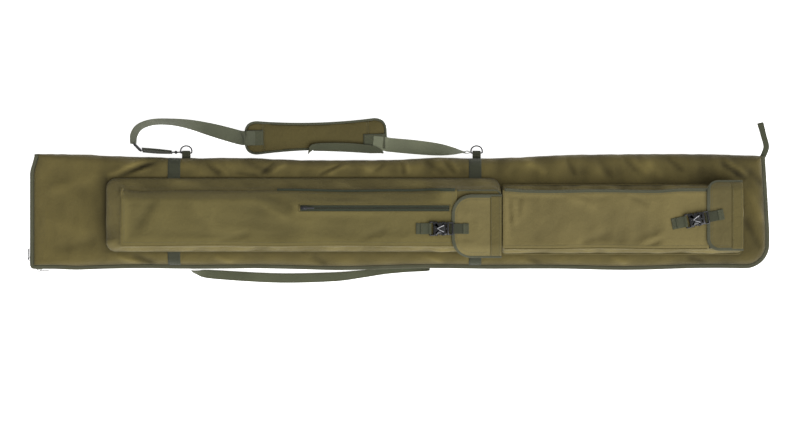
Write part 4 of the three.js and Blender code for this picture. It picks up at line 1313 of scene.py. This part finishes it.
def inflate(piece):
    """Swells a stuffed piece under cloth pressure from its sewn edge, no point further than PAD_CAP."""
    remesh = piece.modifiers.new("remesh", "REMESH")
    remesh.mode, remesh.voxel_size = "VOXEL", PAD_VOXEL * MM
    apply_modifiers(piece)
    before = vertex_array(piece.data)
    height = before[:, 2]
    level = (height - height.min()) / (height.max() - height.min())
    seam = piece.vertex_groups.new(name="seam")
    seam.add([int(i) for i in np.flatnonzero(np.abs(level - 0.5) < 0.34)], 1.0, "REPLACE")
    sim = piece.modifiers.new("cloth", "CLOTH")
    sim.settings.vertex_group_mass = "seam"
    sim.settings.use_pressure = True
    sim.settings.uniform_pressure_force = PAD_PRESSURE
    sim.settings.effector_weights.gravity = 0
    sim.settings.quality = 4
    sim.collision_settings.use_collision = False
    for number in range(1, 21):
        bpy.context.scene.frame_set(number)
    depsgraph = bpy.context.evaluated_depsgraph_get()
    after = vertex_array(piece.evaluated_get(depsgraph).data)
    move = after - before
    move[:, :2] *= 0.3
    size = np.linalg.norm(move, axis=1, keepdims=True)
    move *= np.minimum(1, PAD_CAP * MM / np.maximum(size, 1e-9))
    piece.modifiers.clear()
    piece.vertex_groups.clear()
    bpy.context.scene.frame_set(1)
    piece.data.vertices.foreach_set("co", (before + move).astype(np.float32).ravel())
    piece.data.update()
    smooth = piece.modifiers.new("smooth", "SUBSURF")
    smooth.levels = smooth.render_levels = 1
    apply_modifiers(piece)
    plan_unwrap(piece.data)
    piece.data.shade_smooth()
    return piece


def vertex_array(mesh):
    """A mesh's vertex positions in metres."""
    co = np.zeros(len(mesh.vertices) * 3, np.float32)
    mesh.vertices.foreach_get("co", co)
    return co.reshape(-1, 3).astype(float)


def apply_modifiers(piece):
    """Keeps the shape that the modifiers give, and drops them."""
    depsgraph = bpy.context.evaluated_depsgraph_get()
    mesh = bpy.data.meshes.new_from_object(piece.evaluated_get(depsgraph), depsgraph=depsgraph)
    piece.modifiers.clear()
    piece.data = mesh


def plan_unwrap(mesh):
    """UVs in metres from above, so the weave runs straight, and a painted shade value of 0."""
    co = vertex_array(mesh)
    layer = mesh.uv_layers.get("UVMap") or mesh.uv_layers.new(name="UVMap")
    loops = np.zeros(len(mesh.loops), np.int32)
    mesh.loops.foreach_get("vertex_index", loops)
    layer.data.foreach_set("uv", (co[:, :2] + co[:, 2:3] * 0.9)[loops].astype(np.float32).ravel())
    if "painted_shade_and_tone" not in mesh.attributes:
        mesh.attributes.new("painted_shade_and_tone", "FLOAT", "POINT")


def build_pad():
    """The shoulder pad with its sewn grooves, edge tape and webbing patches."""
    piece = inflate(build_pad_core())
    co = vertex_array(piece.data) / MM - SHIFT
    a = math.radians(PAD["turn"])
    along = (co[:, 0] - PAD["x"]) * math.cos(a) + (co[:, 1] - PAD["y"]) * math.sin(a)
    for seam in PAD_SEAMS:
        groove = 1.5 * np.exp(-(((along - seam) / 4.5) ** 2))
        co[:, 2] -= groove * np.sign(co[:, 2] - 11)
    co[:, 2] += 0.5 * ripple(co[:, 0], co[:, 1], 40, 301) * (co[:, 2] > 11)
    low, high = PAD["z"]
    co[:, 2] = np.clip(co[:, 2], low - 1.5, high + 0.4)
    piece.data.vertices.foreach_set("co", ((co + SHIFT) * MM).astype(np.float32).ravel())
    piece.data.update()
    place(piece, "shoulder_strap", "pad_cloth", "shoulder_pad")

    b = Builder()
    path = pad_place(pad_outline(3.2) + [0, 0, 11.5])
    across = plan_normals(path, closed=True)
    up = every(path, [0, 0, 1.0])
    b.sweep(path, across, up, oval(6.4, 11.0, 16, 2.4), 0, closed=True)
    b.stitches(path - across * 1.8 + [0, 0, 5.0], unit(np.array([0, 0, 1.0]) - across * 0.3), 1,
               closed=True, pitch=4.0)
    for seam in PAD_SEAMS:
        line = xyz(seam, np.linspace(-36, 36, 24), 18.7)
        b.stitches(pad_place(line + [2.2, 0, 0]), [0, 0, 1], 1)
        b.stitches(pad_place(line - [2.2, 0, 0]), [0, 0, 1], 1)
    piece = b.make("shoulder_pad_edge_tape", [WEBBING, THREAD])
    place(piece, "shoulder_strap", "edge_binding")

    for name, x0, x1, y0, y1 in (("left", -188, -140, -20, 20), ("right", 128, 186, -38, 2)):
        b = Builder()
        xs, ys = np.linspace(x0, x1, 13), np.linspace(y0, y1, 11)
        gx, gy = crossed(xs, ys)
        rim = np.minimum(np.minimum(gx - x0, x1 - gx), np.minimum(gy - y0, y1 - gy))
        top = 20.9 + 0.9 * dome(rim / 5)
        # painted shade: the patch darkens at its rims
        b.plate(pad_place(xyz(gx, gy, top)), pad_place(xyz(gx, gy, top - 2.6)),
                painted_shade_and_tone=-0.3 * np.exp(-rim / 3))
        inset = 4
        left, right, near, far = x0 + inset, x1 - inset, y0 + inset, y1 - inset
        box = np.array([[left, near], [right, near], [right, far], [left, far],
                        [left, near], [right, far], [right, near], [left, far]], float)
        for start, end in zip(box[:-1], box[1:]):
            t = np.linspace(0, 1, 8)[:, None]
            line = np.column_stack([start * (1 - t) + end * t, np.full(8, 21.75)])
            b.stitches(pad_place(line), [0, 0, 1], 1)
        place(b.make(f"pad_patch_{name}_webbing", [WEBBING, THREAD]), "shoulder_strap", "webbing",
              f"pad_patch_{name}")


build_pad()


# ------------------------------------------------------------------ inside the case
def build_inside():
    """The butt foam and the sleeve for the rod tips."""
    low, high = drawn_box("butt_pad")
    b = Builder()
    mid = (low + high) / 2
    ys = np.linspace(low[1] + 0.5, high[1] - 0.5, 60)
    path = xyz(mid[0], ys, mid[2])
    size = np.stack([1 - 0.12 * (np.abs(ys - mid[1]) / 124) ** 8, 1 - 0.16
                     * (np.abs(ys - mid[1]) / 124) ** 8], 1)
    b.sweep(path, np.tile([1.0, 0, 0], (60, 1)), np.tile([0, 0, 1.0], (60, 1)),
            oval(high[0] - low[0] - 0.4, high[2] - low[2] - 0.6, 24, 4.5), 0, size=size)
    piece = b.make("butt_foam", [FOAM])
    place(piece, "case_back", "foam", "butt_pad")

    low, high = drawn_box("tip_pocket")
    b = Builder()
    xs = np.concatenate([low[0] + np.array([0.0, 1, 3, 6]), np.linspace(low[0] + 10, high[0] - 10, 22),
                         high[0] - np.array([6, 3, 1.0, 0])])
    ys = np.concatenate([low[1] + np.array([0.0, 0.6, 2, 5]), np.linspace(low[1] + 10, high[1] - 10, 26),
                         high[1] - np.array([5, 2, 0.6, 0])])
    gx, gy = crossed(xs, ys)
    rim = np.minimum(np.minimum(gy - low[1], high[1] - gy), high[0] - gx)
    top = low[2] + 1.2 + (high[2] - low[2] - 1.8) * dome(rim / 14) + 0.5 * ripple(gx, gy, 36,
                                                                                  401) * ease(rim / 12)
    under = np.where(rim < 2.0, low[2] + 0.1, np.maximum(top - 2.0, low[2] + 0.1))
    b.plate(xyz(gx, gy, top), xyz(gx, gy, under), (0, 0, 1))
    mouth = xyz(low[0] + 5, ys, top[3] + 0.05)
    b.stitches(mouth[4:-4], [0, 0, 1], 2)
    piece = b.make("tip_sleeve", [LINING, BINDING, THREAD])
    place(piece, "case_back", "lining_cloth", "tip_pocket")


# ------------------------------------------------------------------ the small zip on the long pocket
def build_pocket_zip():
    """The small zip across the long pocket's face."""
    x0, x1 = POCKET_ZIP["x"]
    y, half = POCKET_ZIP["y"], POCKET_ZIP["width"] / 2
    xs = np.linspace(x0, x1, 90)
    b = Builder()
    base = face_height(LONG, xs, np.full(90, float(y)))
    for sign in (-1, 1):
        rows = y + sign * np.array([0.9, 1.4, 3.0, 5.5, half - 0.6, half])
        gx, gy = crossed(xs, rows)
        rise = np.array([0.9, 1.1, 1.0, 0.85, 0.8, 0.3])[None, :]
        ground = face_height(LONG, gx, gy)
        b.plate(xyz(gx, gy, ground + rise), xyz(gx, gy, ground - 0.3))
        row = xyz(xs, np.full(90, y + sign * 1.1), base + 1.5)
        points, _ = resample(row, 2.4)
        b.capsules(points, every(points, [0, 1.0, 0]), every(points, [0, 0, 1.0]),
                   2.5, 1.5, 1.3, 1)
        for offset in (half - 1.6, half - 3.2):
            edge_y = np.full(90, y + sign * offset)
            line = xyz(xs, edge_y, face_height(LONG, xs, edge_y) + 0.85)
            b.stitches(line, [0, 0, 1], 2, pitch=3.8)
        lip_y = np.full(90, y + sign * (half + 1.0))
        lip = xyz(xs, lip_y, face_height(LONG, xs, lip_y) + 0.3)
        b.tube(lip, 1.3, 3, sides=8)
    for x in (x0 + 1.2, x1 - 1.2):
        b.sweep(np.array([[x, y - half, base[0] + 1.2], [x, y + half, base[0] + 1.2]]),
                np.tile([1.0, 0, 0], (2, 1)),
                np.tile([0, 0, 1.0], (2, 1)), oval(4.0, 1.6, 12, 3.0), 3)
    place(b.make("pocket_zip_chain", [ZIP_CLOTH, COIL_PLASTIC, DARK_THREAD, GUSSET]), "case_front",
          "zip_tape", "pocket_zip")


# ------------------------------------------------------------------ hard fittings
TURNS = np.linspace(0, 2 * math.pi, 17)[:-1]


def prism(b, outline, levels, slot=0, place_at=lambda p: p):
    """A closed prism through (inset, z) levels of one plan outline, both ends filled."""
    outline = np.array(outline, float)
    ring3 = grounded(outline)
    out = plan_normals(ring3, closed=True)
    rings = np.array([ring3 - out * inset + [0, 0, z] for inset, z in levels])
    closed = place_at(np.concatenate([rings, rings[:, :1]], 1))
    b.patch(closed, slot)
    for k, end in ((0, rings[0]), (-1, rings[-1])):
        centre = np.append(end[:, :2].mean(0), end[0, 2])
        points = place_at(np.vstack([end, centre]))
        n = len(end)
        faces = fan(n)
        b.add(points, [faces if k else faces[:, ::-1]], points[:, :2], slot)


def rounded(x0, x1, y0, y1, radius):
    """A rounded rectangle's outline."""
    return rounded_loop((x0, x1, y0, y1), radius, 4.0)[0]


def bevelled(z0, z1, edge):
    """Levels of a prism whose top and bottom edges are rounded."""
    a = np.linspace(0, math.pi / 2, 4)
    low = [(edge * (1 - math.sin(t)), z0 + edge * (1 - math.cos(t))) for t in a]
    high = [(edge * (1 - math.sin(t)), z1 - edge * (1 - math.cos(t))) for t in a[::-1]]
    return low + high


# ------------------------------------------------------------------ side-release buckles
def buckle_place(flap):
    """Puts a buckle's own frame, X towards the flap's hinge and Z off the pocket's face, on the case."""
    a = math.radians(flap["turn"])

    def at(points):
        out = np.array(points, float)
        x, y = out[..., 0].copy(), out[..., 1].copy()
        out[..., 0] = flap["edge"] + x * math.cos(a) - y * math.sin(a)
        out[..., 1] = flap["buckle_y"] + x * math.sin(a) + y * math.cos(a)
        out[..., 2] += flap["pocket"]["face"][1]
        return out
    return at


def flat_strap(b, at, points, width, thickness, slot=0):
    """A short strap in the XZ plane of a buckle's frame."""
    path = smooth_path(points, 6)
    across = every(path, [0, 1.0, 0])
    along = tangents(path)
    up = np.cross(along, across)
    section = oval(width, thickness, 20, 5.0)
    base = at(np.zeros((1, 3)))
    turned = [at(path), at(across) - base, at(up) - base]
    b.sweep(*turned, section, slot)


def build_buckle(number, flap):
    """A side-release buckle: socket, prongs and the straps that hold them."""
    at = buckle_place(flap)
    pocket_body, flap_body = "case_front", FLAP_BODIES[number - 1]

    b = Builder()
    flat_strap(b, at, [[-96, 0, 1.5], [-75, 0, 1.6], [-64, 0, 2.3], [-58.5, 0, 4.5], [-56.2, 0, 7.0],
                       [-58, 0, 9.0],
                       [-61.5, 0, 7.6], [-65, 0, 5.0], [-73, 0, 3.5], [-84, 0, 3.4]], 29, 1.5, 0)
    for x in (-93.5, -90.5, -81.5, -78.5):
        z = 2.5 if x < -86 else 4.4
        line = xyz(x, np.linspace(-12.5, 12.5, 14), z)
        b.stitches(at(line), [0, 0, 1], 1)
    place(b.make(f"buckle_{number}_pocket_strap", [WEBBING, THREAD]), pocket_body, "webbing",
          f"buckle_{number}_strap")

    b = Builder()
    body = [(-50.5, -15), (-49, -17.3), (-44, -18.6), (-39.5, -19), (-38.4, -16.2), (-36, -14.6),
            (-31, -14.6),
            (-28.6, -16.2), (-27.4, -18.6), (-22, -18), (-18.2, -17), (-17, -15)]
    body = np.array(body + [(x, -y) for x, y in body[::-1]], float)
    outline = smooth_path(np.column_stack([np.vstack([body, body[:1]]), np.zeros(len(body) + 1)]), 3)[:-1, :2]
    prism(b, outline, [(2.4, 1.3), (0.9, 1.9), (0, 3.6), (0, 7.4), (0.5, 9.4), (1.7, 11.0), (3.6, 11.9),
                       (6.5, 12.2)],
          0, at)
    prism(b, rounded(-61, -56.6, -18.5, 18.5, 2.0), bevelled(2.2, 7.0, 1.4), 0, at)
    for side in (-1, 1):
        low, high = sorted((side * 15.6, side * 19.0))
        prism(b, rounded(-60.5, -46, low, high, 1.4), bevelled(2.4, 8.2, 1.2), 0, at)
    # the V's arms take the grey painted highlight of the black plastic
    for side in (-1, 1):
        arm = np.array([[-45, side * 1.2], [-42.5, side * 0.2], [-24, side * 9.6], [-21.5, side * 9.8],
                        [-22.5, side * 7.2], [-41.5, side * -1.6 + side * 0.2]])
        arm = arm if side > 0 else arm[::-1]
        prism(b, arm[::-1], [(0.0, 11.4), (0.0, 12.5), (0.5, 12.95)], 1, at)
    prism(b, rounded(-20.8, -18.8, -11, 11, 0.9), bevelled(9.5, 12.6, 0.7), 0, at)
    place(b.make(f"buckle_{number}_socket", [BLACK, PAINTED_HIGHLIGHT], sharp=50), pocket_body, "black_plastic",
          f"buckle_{number}_female")

    b = Builder()
    prism(b, rounded(-15.5, -8.4, -16.6, 16.6, 2.6), bevelled(7.7, 10.9, 1.3), 0, at)
    prism(b, rounded(-15.5, -8.4, -16.6, 16.6, 2.6), bevelled(4.5, 5.2, 0.2), 0, at)
    prism(b, rounded(-1.4, 3.0, -16.8, 16.8, 2.0), bevelled(7.7, 10.3, 1.1), 0, at)
    for side in (-1, 1):
        low, high = sorted((side * 14.2, side * 17.0))
        prism(b, rounded(-14.5, 2.4, low, high, 1.3), bevelled(4.6, 10.4, 1.2), 0, at)
        low, high = sorted((side * 10.8, side * 14.2))
        prism(b, rounded(-36.4, -13, low, high, 1.3), bevelled(7.9, 10.1, 0.8), 0, at)
        button = np.array([[-36.6, side * 10.6], [-35.6, side * 15.6], [-33.2, side * 17.6],
                           [-30.6, side * 16.8],
                           [-29.4, side * 13.4], [-30.6, side * 10.8]])
        button = button if side < 0 else button[::-1]
        prism(b, button, bevelled(6.6, 10.4, 0.7), 0, at)
    prism(b, rounded(-34, -13, -2, 2, 1.2), bevelled(7.9, 10.1, 0.7), 0, at)
    place(b.make(f"buckle_{number}_prongs", [BLACK, SATIN], sharp=50), f"buckle_{number}_plug",
          "black_plastic",
          f"buckle_{number}_male")

    b = Builder()
    flat_strap(b, at, [[42, 0, 4.3], [34, 0, 4.3], [26, 0, 4.8], [17, 0, 6.2], [6, 0, 6.4],
                       [-5.5, 0, 6.4]], 27, 1.4, 0)
    flat_strap(b, at, [[43, 0, 5.8], [36, 0, 5.8], [28, 0, 6.1]], 28, 1.4, 2)
    for x in (40.5, 37.5, 31.5):
        line = xyz(x, np.linspace(-12, 12, 14), 6.6)
        b.stitches(at(line), [0, 0, 1], 1)
    place(b.make(f"flap_{number}_buckle_strap", [BAND_WEBBING, THREAD, WEBBING]), flap_body, "webbing",
          f"flap_{number}_strap")


# ------------------------------------------------------------------ rings, hook and strap adjuster
def build_rings():
    """The D rings, the snap hook and the strap adjuster."""
    for name, x in (("d_ring_left", -572), ("d_ring_right", 205)):
        arc = [[x + 15 * math.cos(a), 156 + 13 * math.sin(a), 24] for a in np.linspace(0, math.pi, 15)]
        ring = np.array(arc + [[x - 15, 152, 24], [x - 13.5, 150.2, 24], [x - 8, 150, 24], [x, 150, 24],
                               [x + 8, 150, 24],
                               [x + 13.5, 150.2, 24], [x + 15, 152, 24]], float)
        path = smooth_loop(ring, 4)
        b = Builder()
        b.tube(path, 1.95, 0, closed=True, sides=14)
        place(b.make(f"{name}_wire", [METAL]), "shoulder_strap", "dark_metal", name)

    b = Builder()
    x, y, z = -601.0, 152.0, 20.0
    eye = np.array([[x - 10.5, y, z - 11], [x - 10.5, y, z + 11], [x - 3.5, y, z + 11],
                    [x - 2.5, y, z + 4], [x - 2.5, y, z - 4],
                    [x - 3.5, y, z - 11]], float)
    b.tube(smooth_loop(eye, 5), 1.6, 0, closed=True, sides=10)
    knob = np.stack([x + 1.0 + 4.0 * np.cos(TURNS), y + 4.4 * np.sin(TURNS)], 1)
    prism(b, knob, bevelled(z - 4.6, z + 4.6, 1.6), 1)
    hook = [[x + 2, y, z + 2], [x + 7, y, z + 6.4], [x + 13, y + 0.4, z + 8.6],
            [x + 19, y + 1.2, z + 6.6], [x + 21.4, y + 1.6, z + 1.0],
            [x + 19, y + 1.4, z - 4.0], [x + 12, y + 0.6, z - 6.0], [x + 6.4, y, z - 4.4], [x + 2, y, z - 2]]
    b.tube(smooth_path(hook, 5), 1.7, 0, sides=10)
    place(b.make("snap_hook", [METAL, SATIN]), "shoulder_strap", "black_plastic", "strap_hook_left")

    b = Builder()
    a = -math.pi / 4

    def turn(points):
        p = np.array(points, float)
        out = p.copy()
        out[:, 0] = -703 + p[:, 0] * math.cos(a) - p[:, 1] * math.sin(a)
        out[:, 1] = 165 + p[:, 0] * math.sin(a) + p[:, 1] * math.cos(a)
        out[:, 2] = 16 + p[:, 2]
        return out

    frame_path = np.array([
        [-11.6, 0, -8], [-11.6, 0, 8], [-10.6, 0, 11.8], [-7, 0, 12.6], [7, 0, 12.6], [10.6, 0, 11.8],
        [11.6, 0, 8], [11.6, 0, -8], [10.6, 0, -11.8], [7, 0, -12.6], [-7, 0, -12.6],
        [-10.6, 0, -11.8]], float)
    b.tube(turn(smooth_loop(frame_path, 4)), 3.0, 0, closed=True, sides=12)
    b.tube(turn([[0, 0.2, -12], [0, 0.4, -4], [0, 0.4, 4], [0, 0.2, 12]]), 3.2, 0, sides=12)
    place(b.make("strap_adjuster", [SATIN]), "shoulder_strap", "black_plastic", "tri_glide")


# ------------------------------------------------------------------ zip sliders and pulls
def build_slider(name, runner, pull_body, origin, axes):
    """A wedge-shaped slider with a bridge, and a moulded pull on a small ring."""
    basis = np.array(axes, float)

    def at(points):
        return np.array(points, float) @ basis + np.array(origin, float)

    b = Builder()
    wedge = [(0.4, -2.6), (2.5, -3.4), (9, -4.5), (15, -4.4), (17.6, -3.6), (17.8, 0), (17.6, 3.6),
             (15, 4.4), (9, 4.5), (2.5, 3.4), (0.4, 2.6)]
    outline = smooth_path(np.column_stack([np.array(wedge + wedge[:1]), np.zeros(len(wedge) + 1)]),
                          3)[:-1, :2]
    prism(b, outline, [(0.5, 0.5), (0, 1.0), (0, 2.9), (0.6, 3.7), (1.5, 4.0)], 0, at)
    bridge = [[4.5, 0, 3.8], [5.0, 0, 6.6], [7.0, 0, 9.0], [9.5, 0, 9.3], [12.5, 0, 7.8], [13.6, 0, 3.8]]
    bridge = smooth_path(bridge, 5)
    b.sweep(at(bridge), every(bridge, basis[1]), np.cross(tangents(at(bridge)), basis[1]),
            oval(4.6, 1.1, 12, 3.0), 0)
    place(b.make(f"{name}_slider_body", [METAL], sharp=50), runner, "dark_metal", f"{name}_slider")

    b = Builder()
    ring = np.stack([10.2 + 2.9 * np.cos(TURNS), 3.0 * np.sin(TURNS), 0 * TURNS + 7.2], 1)
    b.tube(at(ring), 0.7, 1, closed=True, sides=8)
    grip = [(12.2, -1.3), (15, -2.0), (22, -2.3), (32, -2.5), (35.4, -1.9), (36.2, 0), (35.4, 1.9),
            (32, 2.5), (22, 2.3), (15, 2.0), (12.2, 1.3)]
    outline = smooth_path(np.column_stack([np.array(grip + grip[:1]), np.zeros(len(grip) + 1)]), 3)[:-1, :2]
    prism(b, outline, bevelled(6.05, 8.35, 0.8), 0, at)
    for x in (18, 21, 24, 27, 30):
        prism(b, rounded(x - 0.5, x + 0.5, -1.7, 1.7, 0.4), [(0, 7.9), (0.1, 8.7)], 0, at)
    place(b.make(f"{name}_pull_grip", [SATIN, METAL], sharp=50), pull_body, "black_plastic", f"{name}_puller")


build_buckle(1, FLAP_1)
build_buckle(2, FLAP_2)
build_rings()
build_slider("main_zip", "main_zip_runner", "main_zip_pull", [LEFT + 14, BOTTOM + 2, 25.4],
             [[1, 0, 0], [0, 0, 1], [0, -1, 0]])
build_slider("end_zip", "end_zip_runner", "end_zip_pull", [LEFT + 2, BOTTOM + 18, 25.4],
             [[0, 1, 0], [0, 0, -1], [-1, 0, 0]])
build_slider("pocket_zip", "pocket_zip_runner", "pocket_zip_pull",
             [POCKET_ZIP["x"][0] + 4, POCKET_ZIP["y"], LONG["face"][1] + 1.3],
             [[1, 0, 0], [0, 1, 0], [0, 0, 1]])
build_inside()
build_pocket_zip()


# ------------------------------------------------------------------ studio
FLOOR_SIZE, FLOOR_Z = 40.0, -0.0012  # metres; the floor is a little below the case, clear of its underside
WORLD_LIGHT, FLOOR_GLOW, SUN_LIGHT, SUN_SPREAD = 0.52, 0.78, 3.5, 64
LENS, SENSOR = 101.5, 36.0
CAMERA_HEIGHT, AIM_LOW = 6.06, 21.3  # metres up, and millimetres from the drawing's origin


def build_studio():
    """Pale floor, soft light and the camera straight above."""
    floor_mesh = bpy.data.meshes.new("floor")
    size, z = FLOOR_SIZE, FLOOR_Z
    floor_mesh.from_pydata([(-size, -size, z), (size, -size, z), (size, size, z), (-size, size, z)], [],
                           [(0, 1, 2, 3)])
    floor = bpy.data.objects.new("floor", floor_mesh)
    bpy.context.scene.collection.objects.link(floor)
    white, _, _ = shader("studio_white", 0.9, Base_Color=(0.93, 0.93, 0.93, 1), Specular_IOR_Level=0.1,
                         Emission_Color=(1, 1, 1, 1), Emission_Strength=FLOOR_GLOW)
    floor_mesh.materials.append(white)

    world = bpy.data.worlds.new("studio")
    bpy.context.scene.world = world
    world.use_nodes = True
    background = world.node_tree.nodes["Background"]
    background.inputs["Color"].default_value = (1.0, 1.0, 1.0, 1.0)
    background.inputs["Strength"].default_value = WORLD_LIGHT

    key = bpy.data.lights.new("key", "SUN")
    key.energy, key.angle = SUN_LIGHT, math.radians(SUN_SPREAD)
    lamp = bpy.data.objects.new("key", key)
    bpy.context.scene.collection.objects.link(lamp)
    towards = Vector((0.42, -0.56, 0.71))
    lamp.rotation_euler = towards.to_track_quat("Z", "Y").to_euler()

    camera = bpy.data.cameras.new("camera")
    camera.lens, camera.sensor_width = LENS, SENSOR
    camera.clip_start, camera.clip_end = 0.05, 100.0
    eye = bpy.data.objects.new("camera", camera)
    eye.location = (SHIFT[0] * MM, (SHIFT[1] - AIM_LOW) * MM, CAMERA_HEIGHT)
    bpy.context.scene.collection.objects.link(eye)
    bpy.context.scene.camera = eye
    bpy.context.scene.view_settings.view_transform = "Standard"


build_studio()
